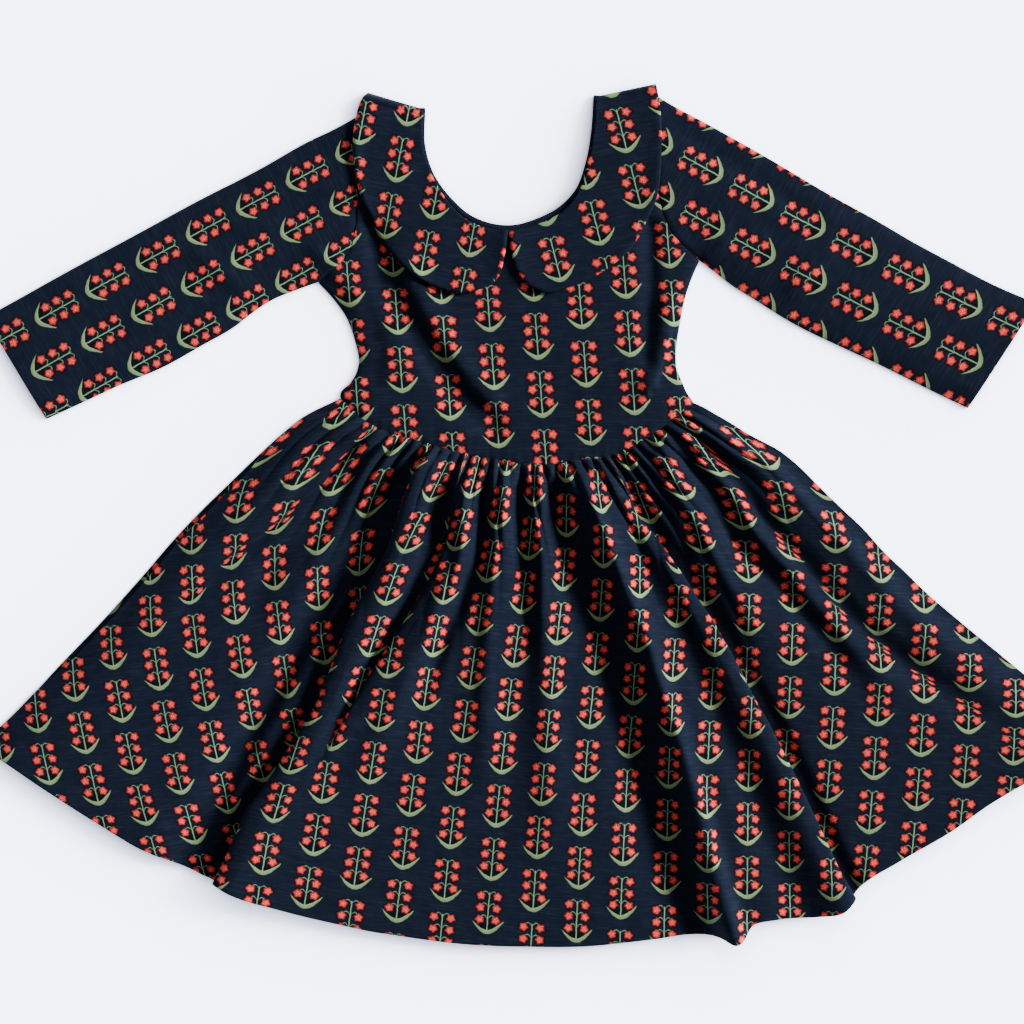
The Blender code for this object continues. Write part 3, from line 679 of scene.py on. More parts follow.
def cut_sheet(outline: Points, step: float, extra: Points | None = None) -> tuple[Points, Points]:
    """Fill an outline with triangles.

    Args:
        outline: the cut edge's points.
        step: distance between the points inside it.
        extra: more points inside, such as a turned edge's.

    Returns:
        The points in plan, and the faces with their upper sides up.
    """
    outline = np.asarray(outline, float)
    low, high = outline.min(0), outline.max(0)
    rows = np.arange(low[1] + step / 2, high[1], step * 0.866)
    grid = np.array([(x + (k % 2) * step / 2, y) for k,
            y in enumerate(rows) for x in np.arange(low[0], high[0], step)])
    closed = np.vstack([outline, outline[:1]])
    a, b = closed[:-1], closed[1:]
    inside = np.zeros(len(grid), bool)
    for (ax, ay), (bx, by) in zip(a, b):
        if ay == by:
            continue
        crossing = (ay > grid[:, 1]) != (by > grid[:, 1])
        inside ^= crossing & (grid[:, 0] < ax + (grid[:, 1] - ay) * (bx - ax) / (by - ay))
    grid = grid[inside]
    grid = grid[reach(grid, closed)[0] > step * 0.5]
    if extra is not None and len(extra):
        near = np.array([np.hypot(*(grid - e).T) < step * 0.6 for e in extra]).any(0)
        grid = np.vstack([grid[~near], extra])
    count = len(outline)
    points = [Vector(p) for p in np.vstack([outline, grid]).tolist()]
    ring = [(k, (k + 1) % count) for k in range(count)]
    points, _, faces, _, _, _ = delaunay_2d_cdt(points, ring, [list(range(count))], 1, 1e-6)
    flat = np.array([tuple(p) for p in points])
    tri = np.array([f for f in faces if len(f) == 3])
    p, q, r = flat[tri[:, 0]], flat[tri[:, 1]], flat[tri[:, 2]]
    turn = (q[:, 0] - p[:, 0]) * (r[:, 1] - p[:, 1]) - (q[:, 1] - p[:, 1]) * (r[:, 0] - p[:, 0])
    tri[turn < 0] = tri[turn < 0][:, ::-1]
    return flat, tri


def grid_faces(rows: int, columns: int, closed: bool = False) -> Points:
    """Return the four-cornered faces of a grid, its last column joined to the first where closed."""
    index = np.arange(rows * columns).reshape(rows, columns)
    right = np.roll(index, -1, axis=1)
    a, b, c, d = index[:-1], index[1:], right[1:], right[:-1]
    faces = np.stack([a, b, c, d], -1)
    if not closed:
        faces = faces[:, :-1]
    return faces.reshape(-1, 4)


@dataclass
class Bodice:
    """The fitted bodice: a front that is shaped over the flat back."""

    front: Sheet = field(default_factory=lambda: Sheet("bodice_front_cloth", "bodice_front",
            (0.296, 0.292), 0.0590, ("bodice_back_cloth",)))
    back: Sheet = field(default_factory=lambda: Sheet("bodice_back_cloth", "bodice_back", (0.296, 0.292),
            0.0585, ("floor",)))
    grain: Grain = Grain((-3.8, 125.2), 4.3, 1.7, (0.993, 1.005))
    step: float = 2.3

    def outline(self, inset: float) -> Points:
        """Return the cut edge, from the left shoulder along the neckline and round."""
        neck = Line(Seams.NECK).beside(-NECK_SET_BACK, 150)
        neck = neck[neck[:, 1] < 313]
        gap = 0.5 + inset
        parts = [
            [(-96.7, 313)], neck, [(44.2, 324)],
            Line(Seams.ARMHOLE_RIGHT).beside(-gap, 60), Line(Seams.SIDE_RIGHT).beside(-inset, 60)[1:-1],
            Line(Seams.WAIST).beside(0.3, 150)[::-1],
            Line(Seams.SIDE_LEFT).beside(inset, 60)[1:-1][::-1], Line(Seams.ARMHOLE_LEFT).beside(gap,
                60)[::-1],
        ]
        return np.vstack(parts)

    def build(self, finish: bpy.types.Material) -> None:
        """Make the front and the back and dress them."""
        sides = np.vstack([Line(Seams.SIDE_RIGHT).beside(-1.0, 60), Line(Seams.SIDE_LEFT).beside(1.0, 60)])
        flat, faces = cut_sheet(self.outline(0.0), self.step, sides[sides[:, 1] > 95])
        height = upper_height(flat) + self.puckers(flat)
        near = np.minimum(reach(flat, Seams.SIDE_LEFT)[0], reach(flat, Seams.SIDE_RIGHT)[0])
        height = 1.2 + (height - 1.2) * ease(near / 1.6 + 0.15)
        seam = reach(flat, Seams.WAIST)[0]
        height = height - 0.9 * np.exp(-((seam / 1.8) ** 2)) * ease(near / 6)
        arm = np.minimum(reach(flat, Seams.ARMHOLE_LEFT)[0], reach(flat, Seams.ARMHOLE_RIGHT)[0])
        height = height - 0.6 * np.exp(-((arm / 1.5) ** 2)) * ease(near / 6)
        self.front.make(np.column_stack([flat, height]), faces, self.grain.cloth(flat), finish)
        flat, faces = cut_sheet(self.outline(0.7), 9.0)
        self.back.make(np.column_stack([flat, np.full(len(flat), UNDER_Z)]), faces,
            self.grain.cloth(flat), finish, UNDER_WALL)

    def puckers(self, flat: Points) -> Points:
        """Return the small pulls that the gathered seam and the armholes make in the bodice."""
        seam, _ = reach(flat, Seams.WAIST)
        wave = np.sin(flat[:, 0] * 0.83 + 1.4 * np.sin(flat[:, 0] * 0.11)) * np.exp(-seam / 7.0)
        arm = np.minimum(reach(flat, Seams.ARMHOLE_LEFT)[0], reach(flat, Seams.ARMHOLE_RIGHT)[0])
        pull = np.sin(flat[:, 1] * 0.42 + flat[:, 0] * 0.2) * np.exp(-arm / 8.0)
        soft = np.sin(flat[:, 0] * 0.062 + 0.9) * np.sin(flat[:, 1] * 0.047 + 0.4)
        return 0.28 * wave + 0.18 * pull + 0.35 * soft


@dataclass
class Sleeve:
    """A long sleeve pressed flat: a tube from the cuff to the armhole, folded along both its edges."""

    sheet: Sheet
    upper: tuple
    lower: tuple
    armhole: tuple
    grain: Grain
    leftward: bool
    stations: int = 150

    def build(self, finish: bpy.types.Material) -> None:
        """Make the tube, with its cuff turned in, and dress it."""
        tube = Patch(Line((self.upper[0], self.lower[0]), False), Line(self.armhole), Line(self.upper),
            Line(self.lower))
        s = np.linspace(0, 1, self.stations)
        width = np.hypot(*(tube.at(0, s) - tube.at(1, s)).T)
        turn = np.radians(np.linspace(75, -75, 9))
        ring = [("top", 0.0, t) for t in np.linspace(0, 1, 72)]
        ring += [("turn", math.cos(a), 0.5 + 0.5 * math.sin(a)) for a in turn]
        ring += [("low", 0.0, t) for t in np.linspace(1, 0, 24)]
        ring += [("back", math.cos(a), 0.5 + 0.5 * math.sin(a)) for a in turn[::-1]]
        middle = tube.at(0.5, s)
        low = 0.5
        rows, cloths = [], []
        for kind, out, value in ring:
            edge = (1.25 - 1.15 * out) / width
            if kind in ("top", "low"):
                t = edge + (1 - 2 * edge) * value
            else:
                t = 1 - edge if kind == "turn" else edge
            plan = tube.at(t, s)
            z = low + np.zeros(self.stations)
            if kind != "low":
                top = upper_height(plan) + self.ripples(plan, s) * (1 if kind == "top" else 0.3)
                z = low + (top - low) * (1 if kind == "top" else value)
            arm = reach(plan, self.armhole)[0]
            if kind == "top":
                z = z - 0.6 * np.exp(-((arm / 1.5) ** 2)) * ease(np.minimum(value, 1 - value) * 14)
            rows.append(np.column_stack([plan, z]))
            mirror = plan if kind != "low" else 2 * middle - plan
            cloths.append(self.grain.cloth(mirror))
        points, cloth = np.stack(rows, 1), np.stack(cloths, 1)
        points, cloth = self.turned_cuff(points, cloth)
        into = points[-1] - points[-2]
        into[:, 2] = 0
        into /= np.linalg.norm(into, axis=1, keepdims=True)
        tuck = points[-1] + 2.2 * into
        tuck[:, 2] = np.maximum(0.4, tuck[:, 2] - 1.3)
        points = np.concatenate([points, tuck[None]])
        cloth = np.concatenate([cloth, cloth[-1:] + np.array([0.0, 2.2])])
        faces = grid_faces(points.shape[0], points.shape[1], closed=True)
        if not self.leftward:
            faces = faces[:, ::-1]
        self.sheet.make(points.reshape(-1, 3), faces, cloth.reshape(-1, 2), finish)

    def ripples(self, plan: Points, s: Points) -> Points:
        """Return the soft unevenness of the upper layer."""
        x, y = plan[:, 0], plan[:, 1]
        soft = np.sin(x * 0.071 + y * 0.05) * np.sin(y * 0.083 - x * 0.03 + 1.0)
        head = np.sin(y * 0.36 + x * 0.12) * np.exp(-reach(plan, self.armhole)[0] / 9.0)
        return 0.4 * soft + 0.2 * head

    def turned_cuff(self, points: Points, cloth: Points) -> tuple[Points, Points]:
        """Add the rows where the cuff's edge turns into the sleeve."""
        out = points[0] - points[1]
        out[:, 2] = 0
        out /= np.linalg.norm(out, axis=1, keepdims=True)
        middle = points[0].mean(0)
        middle[2] = 0.5 * (points[0][:, 2].max() + points[0][:, 2].min())
        rows, cloths = [], []
        for ahead, inward in ((-9.0, 0.8), (-4.0, 0.7), (-0.2, 0.6), (0.25, 0.35), (0.3, 0.12)):
            row = points[0] + out * ahead
            gap = middle[2] - points[0][:, 2]
            row[:, 2] = points[0][:, 2] + np.sign(gap) * np.minimum(inward, abs(gap))
            rows.append(row)
            cloths.append(cloth[0] - np.array([0.0, ahead]))
        return np.concatenate([np.stack(rows), points]), np.concatenate([np.stack(cloths), cloth])


@dataclass
class Collar:
    """Half of the round collar: it lies on the bodice and turns down over the shoulder."""

    sheet: Sheet
    outer: tuple
    top: tuple
    neck_share: tuple[float, float]
    grain: Grain
    leftward: bool
    step: float = 2.0

    def build(self, finish: bpy.types.Material) -> None:
        """Make the collar half with its turned edge and dress it."""
        inner, outer = Line(Seams.NECK).beside(0.0, 240), Line(Seams.NECK).beside(-NECK_SET_BACK, 240)
        neck = inner + (outer - inner) * (0.30 + 0.70 * ease((272 - inner[:, 1:]) / 38))
        low, high = self.neck_share
        chosen = neck[int(low * 239):int(high * 239) + 1]
        rim = Line(self.outer).at(np.linspace(0, 1, 190))
        outline = np.vstack([chosen, rim[::-1] if self.leftward else rim[1:-1]])
        turn = Line(self.top, False).beside(-3.4, 24)[1:-1]
        stitched = Line(self.outer).beside(-0.9, 150)[6:-8]
        inside = reach(stitched, np.vstack([outline, outline[:1]]))[0] > 0.6
        flat, faces = cut_sheet(outline, self.step, np.vstack([turn, stitched[inside]]))
        height = upper_height(flat) + LAYER + 0.35
        height = 1.3 + (height - 1.3) * ease(reach(flat, self.top)[0] / 3.3)
        edge = reach(flat, rim)[0]
        shoulder = ease(reach(flat, self.top)[0] / 6)
        lift = 1.5 * np.exp(-((edge / 9) ** 2)) - 0.6 * np.exp(-((edge / 0.8) ** 2))
        ridge = 0.22 * np.exp(-(((edge - 2.6) / 1.2) ** 2))
        height = height + (lift + ridge) * shoulder + 0.25 * np.sin(flat[:, 0] * 0.09) * np.sin(flat[:,
                1] * 0.08)
        self.sheet.make(np.column_stack([flat, height]), faces, self.grain.cloth(flat), finish, 0.9)


@dataclass
class NeckBinding:
    """The narrow strip that binds the whole neckline, with its row of stitches."""

    sheet: Sheet = field(default_factory=lambda: Sheet("neck_binding_cloth", "neck_binding",
            (0.56, 0.012), 0.0028, ("bodice_front_cloth",), slot="navy_jersey"))
    width: float = 4.4
    count: int = 260

    def build(self, finish: bpy.types.Material, thread: bpy.types.Material) -> None:
        """Make the strip's closed ring and the stitches on its front, and dress them."""
        line = Line(Seams.NECK)
        edges = [line.beside(-self.width * w, self.count) for w in (0.0, 0.06, 0.2, 0.5, 0.8, 1.0, 1.28)]
        crown = (-0.9, -0.3, 0.05, 0.2, 0.05, -0.3, -0.9)
        front = upper_height(edges[3])
        tail, head = line.at(1.0) - line.at(0.985), line.at(0.0) - line.at(0.015)
        tail, head = tail / np.hypot(*tail), head / np.hypot(*head)
        half = 0.5 * (front[-1] - 0.5)
        turn = np.radians(np.linspace(70, -70, 7))
        strips = []
        for edge, puff in zip(edges, crown):
            top = np.column_stack([edge, front + puff])
            end = self.round_shoulder(edge[-1], tail, half, puff, turn)
            low = np.column_stack([edge[::-1], np.full(self.count, 0.5 - puff * 0.3)])
            back = self.round_shoulder(edge[0], head, half, puff, turn[::-1])
            strips.append(np.vstack([top, end, low, back]))
        points = np.stack(strips, 0)
        rows, columns = points.shape[:2]
        along = np.linspace(0, 560, columns)
        across = np.linspace(0, self.width, rows)
        cloth = np.stack(np.meshgrid(along, across), -1)
        faces = grid_faces(rows, columns, closed=True)[:, ::-1]
        self.sheet.make(points.reshape(-1, 3), faces, cloth.reshape(-1, 2), finish)
        self.stitches(thread)

    def round_shoulder(self, edge: Points, out: Points, half: float, puff: float, turn: Points) -> Points:
        """Return the points where the strip turns over the shoulder, at the angles in turn."""
        z = 0.5 + half + (half + puff) * np.sin(turn)
        return np.column_stack([edge + out * (half * np.cos(turn))[:, None], z])

    def stitches(self, thread: bpy.types.Material) -> None:
        """Lay the short upright stitches along the middle of the binding's front."""
        line = Line(Seams.NECK)
        share = np.linspace(0.02, 0.98, 118)
        near, far = line.beside(-self.width * 0.25, 1001), line.beside(-self.width * 0.75, 1001)
        index = np.round(share * 1000).astype(int)
        height = upper_height(near[index])
        curve = bpy.data.curves.new("neck_stitches", "CURVE")
        curve.dimensions = "3D"
        curve.bevel_depth = 0.00016
        curve.bevel_resolution = 1
        curve.use_fill_caps = True
        for a, b, z in zip(near[index], far[index], height):
            spline = curve.splines.new("POLY")
            spline.points.add(2)
            for point, share_, up in zip(spline.points, (0, 0.5, 1), (0.12, 0.3, 0.12)):
                x, y = a + (b - a) * share_
                point.co = (x * MM, y * MM, (z + up) * MM, 1)
        piece = bpy.data.objects.new("neck_stitches", curve)
        bpy.context.scene.collection.objects.link(piece)
        curve.materials.append(thread)
        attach(piece, "root")


@dataclass
class Skirt:
    """The full skirt: a gathered front with its folds and pleats, over a flat back."""

    front: Sheet = field(default_factory=lambda: Sheet("skirt_front_cloth", "skirt_front", (0.985, 0.43),
            0.29, ("skirt_back_cloth",), Held.GATHERED))
    back: Sheet = field(default_factory=lambda: Sheet("skirt_back_cloth", "skirt_back", (0.884, 0.428),
            0.2480, ("floor",)))
    left_grain: Grain = Grain((-269.1, -107.5), 7.9, 8.4, (0.905, 0.933),
        (1.1, -0.2, -5.2, -1.2, -0.2, -1.8))
    centre_grain: Grain = Grain((-1.6, -222.4), -4.9, -5.7, (0.913, 0.921),
        (1.8, 4.9, -1.9, -2.3, 0.5, -0.3))
    right_grain: Grain = Grain((257.4, -202.6), -4.2, -4.9, (0.964, 0.930),
        (-2.3, -0.7, 1.8, 0.5, -0.1, 1.1))
    columns_across: int = 500
    rows_down: int = 180
    gathers: int = 36
    gather_height: float = 3.0
    gather_fade: float = 0.20
    rise: float = 8.2
    relief: tuple[float, float] = (1.75, 1.1)
    fullness: float = 3.2  # cloth taken up in each gather at the seam
    peek: float = 4.0
    folds: tuple[Fold, ...] = (
        Fold("left edge trough", ((-140, 60), (-190, 8), (-244, -35), (-340, -130)), (0.05, 0.62),
            (-4.5, -1.1), (12, 20), (12, 20)),
        Fold("left dimple", ((-160, 10), (-215, -41), (-232, -88), (-262, -150)), (0.12, 0.6),
            (-3.9, -1.4), (10, 14), (12, 18)),
        Fold("left panel trough", ((-100, 50), (-142, -25), (-190, -103), (-228, -170), (-270, -262)),
            (0.02, 1.3), (-6.0, -5.2), (9, 20), (6, 10)),
        Fold("second trough", ((-72, 40), (-84, -24), (-104, -66), (-140, -122), (-170, -170)),
            (0.06, 0.70), (-5.2, -3.0), (7, 12), (6, 9)),
        Fold("between ridge", ((-62, 40), (-60, -27), (-98, -108), (-150, -220), (-180, -315)),
            (0.06, 0.8), (3.9, 2.1), (6, 16), (6, 16)),
        Fold("third trough", ((-44, 35), (-46, 0), (-52, -41), (-72, -82), (-84, -113), (-110, -180)),
            (0.06, 0.62), (-5.2, -2.4), (6, 11), (6, 9)),
        Fold("centre left ridge", ((-32, 35), (-34, -4), (-41, -98), (-58, -330)), (0.04, 0.75),
            (4.5, 2.4), (6, 17), (7, 17)),
        Fold("centre trough", ((-17, 35), (-14, -20), (-12, -59), (-10, -130)), (0.02, 0.5),
            (-4.5, -2.1), (5, 8), (5, 8)),
        Fold("centre ridge", ((-3, 35), (-1, -60), (2, -145), (6, -330)), (0.02, 0.9), (4.9, 2.4),
            (6, 20), (6, 22)),
        Fold("long trough", ((8, 35), (11, -5), (30, -57), (50, -108), (66, -159), (80, -210),
                (102, -277), (128, -322)), (0.03, 1.3), (-5.6, -6.3), (8, 24), (7, 13)),
        Fold("long crest", ((27, 38), (50, -21), (80, -92), (106, -174), (127, -251), (150, -333)),
            (0.05, 1.3), (6.6, 12.2), (9, 20), (7, 9)),
        Fold("shaded band", ((48, 40), (78, -30), (116, -108), (150, -185), (178, -252), (205, -312)),
            (0.12, 1.3), (-3.9, -5.2), (9, 20), (9, 18)),
        Fold("right short ridge", ((85, 55), (110, 10), (140, -45), (178, -100), (240, -200)),
            (0.05, 0.6), (4.2, 1.8), (7, 16), (7, 16)),
        Fold("right trough", ((98, 62), (127, 25), (152, -21), (188, -57), (223, -98), (280, -180)),
            (0.04, 0.75), (-4.9, -2.4), (7, 14), (6, 12)),
        Fold("right ridge", ((104, 68), (130, 40), (166, -10), (210, -62), (262, -120), (320, -190)),
            (0.04, 0.8), (4.5, 1.8), (6, 15), (6, 15)),
        Fold("right long trough", ((108, 72), (140, 35), (167, 1), (200, -35), (240, -82), (292, -123),
                (350, -160)), (0.04, 0.95), (-5.6, -3.9), (7, 16), (7, 14)),
        Fold("right edge ridge", ((112, 78), (150, 52), (190, 22), (240, -28), (300, -90), (380, -160)),
            (0.05, 0.85), (3.9, 1.8), (6, 14), (8, 16)),
    )
    overlaps: tuple[Overlap, ...] = (
        Overlap("left pleat", ((-88, 52), (-118, -22), (-150, -85), (-172, -145), (-198, -188),
                (-226, -230), (-252, -287)), 1, (0.03, 1.3), (12.0, 13.0), (9, 9), (4.0, 9.0), 55),
        Overlap("second pleat", ((-62, 40), (-74, -20), (-92, -59), (-128, -115), (-150, -152),
                (-170, -185)), 1, (0.06, 0.74), (4.5, 4.0), (6, 7), (3.0, 6.0), 40),
        Overlap("right pleat", ((52, 45), (76, -4), (108, -45), (144, -105), (176, -166), (201, -217),
                (228, -276), (243, -300)), -1, (0.08, 1.3), (5.5, 8.0), (8, 9), (2.5, 6.5), 45),
    )

    tucks: tuple[Tuck, ...] = (
        Tuck("left edge", ((-140, 60), (-190, 8), (-244, -35), (-300, -92)), -1, -8, 16, (0.1, 0.62)),
        Tuck("right long trough", ((108, 72), (167, 1), (200, -35), (240, -82), (292, -123),
                (350, -160)), 1, 2, 14, (0.7, 0.97)),
    )
    inner_tuck: Tuck = Tuck("second pleat",
        ((-62, 40), (-74, -20), (-92, -59), (-128, -115), (-150, -152), (-170, -185), (-214, -250)), -1,
        -38, 8, (0.0, 0.86))

    def __post_init__(self) -> None:
        """Span the front between its edges and find each fold on it."""
        side = Line(Seams.SKIRT_LEFT)
        share = np.linspace(0, 1, 60)
        peek = self.peek * ease((share - 0.12) / 0.15) * ease((0.86 - share) / 0.12)
        step = np.gradient(side.at(share), axis=0)
        step /= np.hypot(*step.T)[:, None]
        inset = side.at(share) + (peek + 0.4)[:, None] * np.stack([-step[:, 1], step[:, 0]], 1)
        waist = Line(Line(Seams.WAIST).beside(-0.25, 120), False)
        left = between(inset, waist.at(0), Seams.HEM[0])
        right = between(Line(Seams.SKIRT_RIGHT).at(share), waist.at(1), Seams.HEM[-1])
        self.patch = Patch(waist, Line(Seams.HEM), left, right)
        self.fold_lines = [(fold, self.patch.trace(fold.path)) for fold in self.folds]
        self.overlap_lines = [(lap, self.patch.trace(lap.path)) for lap in self.overlaps]

    def columns(self, count: int, v: float) -> Points:
        """Return places across at v, even at the waist and closer together at the folds lower down."""
        fine = np.linspace(0, 1, 2001)
        crowd = np.ones_like(fine)
        width = self.patch.width(v)
        for lap, (vs, us) in self.overlap_lines:
            gap = (fine - np.interp(v, vs, us)) * width / (1.6 * mix(lap.half_width, v))
            crowd += 6.5 * ease(v / 0.7) * np.exp(-(gap**2))
        run = np.concatenate([[0], np.cumsum(crowd[1:] + crowd[:-1])])
        return np.interp(np.linspace(0, run[-1], count + 1), run, fine)

    def at(self, u: Points, v: Points) -> Points:
        """Return points of the middle of the front, for arrays of u and v."""
        base = self.patch.at(u, v)
        width = self.patch.width(v)
        across = self.patch.at(np.minimum(u + 0.01, 1), v) - self.patch.at(np.maximum(u - 0.01, 0), v)
        across = across / np.linalg.norm(across, axis=-1, keepdims=True)
        edge = np.minimum(u, 1 - u) * width
        inner = 1 - np.exp(-((edge / 16) ** 1.5))
        rise = self.rise + np.zeros_like(u)
        for fold, (vs, us) in self.fold_lines:
            gap = (u - np.interp(v, vs, us)) * width
            flank = np.where(gap < 0, mix(fold.left, v), mix(fold.right, v))
            shown = ease((v - fold.fade[0] + 0.06) / 0.12) * ease((fold.fade[1] - v) / 0.25)
            rise = rise + shown * mix(self.relief, v) * mix(fold.height, v) * np.exp(-((gap / flank) ** 2))
        lift, shift = np.zeros_like(u), np.zeros_like(u)
        for lap, (vs, us) in self.overlap_lines:
            gap = (u - np.interp(v, vs, us)) * width * lap.side
            half = mix(lap.half_width, v)
            shown = ease((v - lap.fade[0] + 0.06) / 0.12) * ease((lap.fade[1] - v) / 0.25)
            t = np.clip(gap / half, -1, 1)
            fall = np.exp(-np.maximum(gap - half, 0) / lap.fall)
            lift = lift + shown * mix(lap.rise, v) * ease((t + 1) / 2) * fall
            shift = shift - shown * lap.side * mix(lap.overhang, v) * np.sin(math.pi * t)
            rise = rise - rise * shown * np.exp(-((gap + 0.4 * half) ** 2) / half**2) * 0.8
        rise = rise + self.fine_creases(u, v, width)
        rise = 0.5 * (rise + np.sqrt(rise**2 + 0.5)) + lift
        wave = 2 * np.abs(np.cos(math.pi * self.gather_phase(u))) ** 0.8 - 1
        uneven = 1 + 0.35 * np.sin(2 * math.pi * 5.3 * u + 0.7) + 0.2 * np.sin(2 * math.pi * 11.7 * u)
        fading = np.exp(-((v / self.gather_fade) ** 1.3)) * ease((v + 0.012) / 0.03)
        gather = self.gather_height * uneven * wave * fading
        height = FRONT_Z + inner * rise
        seam = upper_height(base)
        z = seam + (height - seam) * ease(v / 0.05) + gather * inner
        z = FRONT_Z + 0.5 * (z - FRONT_Z + np.sqrt((z - FRONT_Z) ** 2 + 0.04))
        z = z - 0.9 * np.exp(-((v * 376 / 1.8) ** 2)) * inner
        plan = base + across * (shift * inner)[..., None]
        return np.concatenate([plan, z[..., None]], -1)

    def gather_phase(self, u: Points) -> Points:
        """Return the count of gathers from the left, a little uneven; ridges are at whole numbers."""
        turn = 2 * math.pi * u
        return self.gathers * u + 0.12 * np.sin(4 * turn) + 0.30 * np.sin(2.3 * turn + 1.0)

    def fine_creases(self, u: Points, v: Points, width: Points) -> Points:
        """Return the small folds that run down from the gathers, each with its own place and length."""
        rng = np.random.default_rng(5)
        total = np.zeros_like(u)
        for _ in range(70):
            place, length = rng.uniform(0.02, 0.98), rng.uniform(0.10, 0.42)
            height, wide = rng.uniform(-1.3, 1.5), rng.uniform(2.2, 4.6)
            drift = rng.uniform(-0.02, 0.02)
            gap = (u - place - drift * v) * width
            spread = wide * (1 + 2.2 * v)
            shown = np.exp(-((v / length) ** 2)) * ease(v / 0.03)
            total = total + height * np.exp(-((gap / spread) ** 2)) * shown
        slow = np.sin(17 * u + 3 * v) * np.sin(9 * v + 5 * u + 1.0)
        return total + 0.6 * slow * ease(v / 0.3)

    def build(self, finish: bpy.types.Material) -> None:
        """Make the front, with its rolled sides and turned hem, and the flat back."""
        v = np.linspace(0, 1, self.rows_down + 1) ** 1.12
        u = np.stack([self.columns(self.columns_across, k) for k in v])
        v = np.broadcast_to(v[:, None], u.shape)
        points = self.at(u, v)
        cloth = self.cloth_places(u, v, points)
        points, cloth = self.rolled_sides(points, cloth)
        into = points[0] - points[1]
        into[:, 2] = 0
        into /= np.linalg.norm(into, axis=1, keepdims=True)
        tuck = points[0] + 2.0 * into
        tuck[:, 2] = np.maximum(1.2, tuck[:, 2] - 1.2)
        points = np.concatenate([tuck[None], points])
        cloth = np.concatenate([cloth[:1] + np.array([0.0, 2.0]), cloth])
        points, cloth = self.turned_hem(points, cloth)
        faces = grid_faces(points.shape[0], points.shape[1])
        self.front.make(points.reshape(-1, 3), faces, cloth.reshape(-1, 2), finish)
        self.build_back(finish)

    def cloth_places(self, u: Points, v: Points, points: Points) -> Points:
        """Return each point's place on the fabric: three lays of the grain, parted inside the two pleats."""
        base = self.patch.at(u, v)
        flat = np.linalg.norm(np.diff(base, axis=1), axis=-1)
        run = np.linalg.norm(np.diff(points, axis=1), axis=-1) - flat
        run = np.clip(run, 0, 0.22 * flat)
        run = np.concatenate([np.zeros((len(run), 1)), np.cumsum(run, axis=1)], axis=1)
        window = np.hanning(61)
        window /= window.sum()
        smooth = np.stack([np.convolve(np.pad(r, 30, mode="edge"), window, mode="valid") for r in run])
        local = (run - smooth)[..., None] * np.array([1.0, 0.0])
        plan = points[..., :2]
        cloth = self.centre_grain.cloth(plan)
        cloth = cloth + self.step(self.inner_tuck, u, v)
        (_, (left_v, left_u)), (_, (right_v, right_u)) = self.overlap_lines[0], self.overlap_lines[-1]
        beyond_left = u < np.interp(v, left_v, left_u)
        cloth = np.where(beyond_left[..., None], self.left_grain.cloth(plan), cloth)
        beyond_right = u > np.interp(v, right_v, right_u)
        cloth = np.where(beyond_right[..., None], self.right_grain.cloth(plan), cloth)
        for tuck in self.tucks:
            cloth = cloth + self.step(tuck, u, v)
        phase = self.gather_phase(u)
        taken = self.fullness * np.exp(-((v / 0.19) ** 2))
        drift = taken * (phase - 0.5 * self.gathers - np.sin(2 * math.pi * phase) / (2 * math.pi))
        return cloth + local + np.stack([drift, np.zeros_like(drift)], -1)

    def step(self, tuck: Tuck, u: Points, v: Points) -> Points:
        """Return how far a tuck moves the print at u and v."""
        vs, us = self.patch.trace(tuck.path)
        gap = (u - np.interp(v, vs, us)) * self.patch.width(v) * tuck.side
        shown = ease(gap / 7.0 + 0.5) * np.clip((tuck.fade[1] - v) / (tuck.fade[1] - tuck.fade[0]), 0, 1)
        along = shown if tuck is not self.inner_tuck else ease(shown * 2.5)
        return np.stack([tuck.across * shown, tuck.along * along], -1)

    def rolled_sides(self, points: Points, cloth: Points) -> tuple[Points, Points]:
        """Add columns at both sides where the cloth rolls round its folded edge to the surface."""
        turn = np.radians(np.linspace(60, -50, 6))
        for end, near in ((0, 1), (-1, -2)):
            edge, out = points[:, end], points[:, end] - points[:, near]
            out = out[:, :2] / np.linalg.norm(out[:, :2], axis=1, keepdims=True)
            half = 0.5 * (edge[:, 2] - 0.9)
            added, places = [], []
            for k, a in enumerate(turn):
                plan = edge[:, :2] + out * (half[:, None] * math.cos(a))
                added.append(np.column_stack([plan, 0.9 + half + half * math.sin(a)]))
                places.append(cloth[:, end] + (-1 if end == 0 else 1) * np.array([0.6 * (k + 1), 0.0]))
            added = np.stack(added, 1)
            places = np.stack(places, 1)
            if end == 0:
                points = np.concatenate([added[:, ::-1], points], 1)
                cloth = np.concatenate([places[:, ::-1], cloth], 1)
            else:
                points = np.concatenate([points, added], 1)
                cloth = np.concatenate([cloth, places], 1)
        return points, cloth

    def turned_hem(self, points: Points, cloth: Points) -> tuple[Points, Points]:
        """Add rows at the bottom where the hem's edge turns under."""
        out = points[-1] - points[-2]
        out[:, 2] = 0
        out /= np.linalg.norm(out, axis=1, keepdims=True)
        rows, places = [points], [cloth]
        for ahead, down in ((0.3, 0.12), (0.35, 0.45), (0.1, 0.75), (-4.0, 0.85), (-9.0, 0.85)):
            row = points[-1] + out * ahead
            row[:, 2] = np.maximum(points[-1][:, 2] - down, np.minimum(points[-1][:, 2], 1.0))
            rows.append(row[None])
            places.append((cloth[-1] - np.array([0.0, abs(ahead)]))[None])
        return np.concatenate(rows), np.concatenate(places)

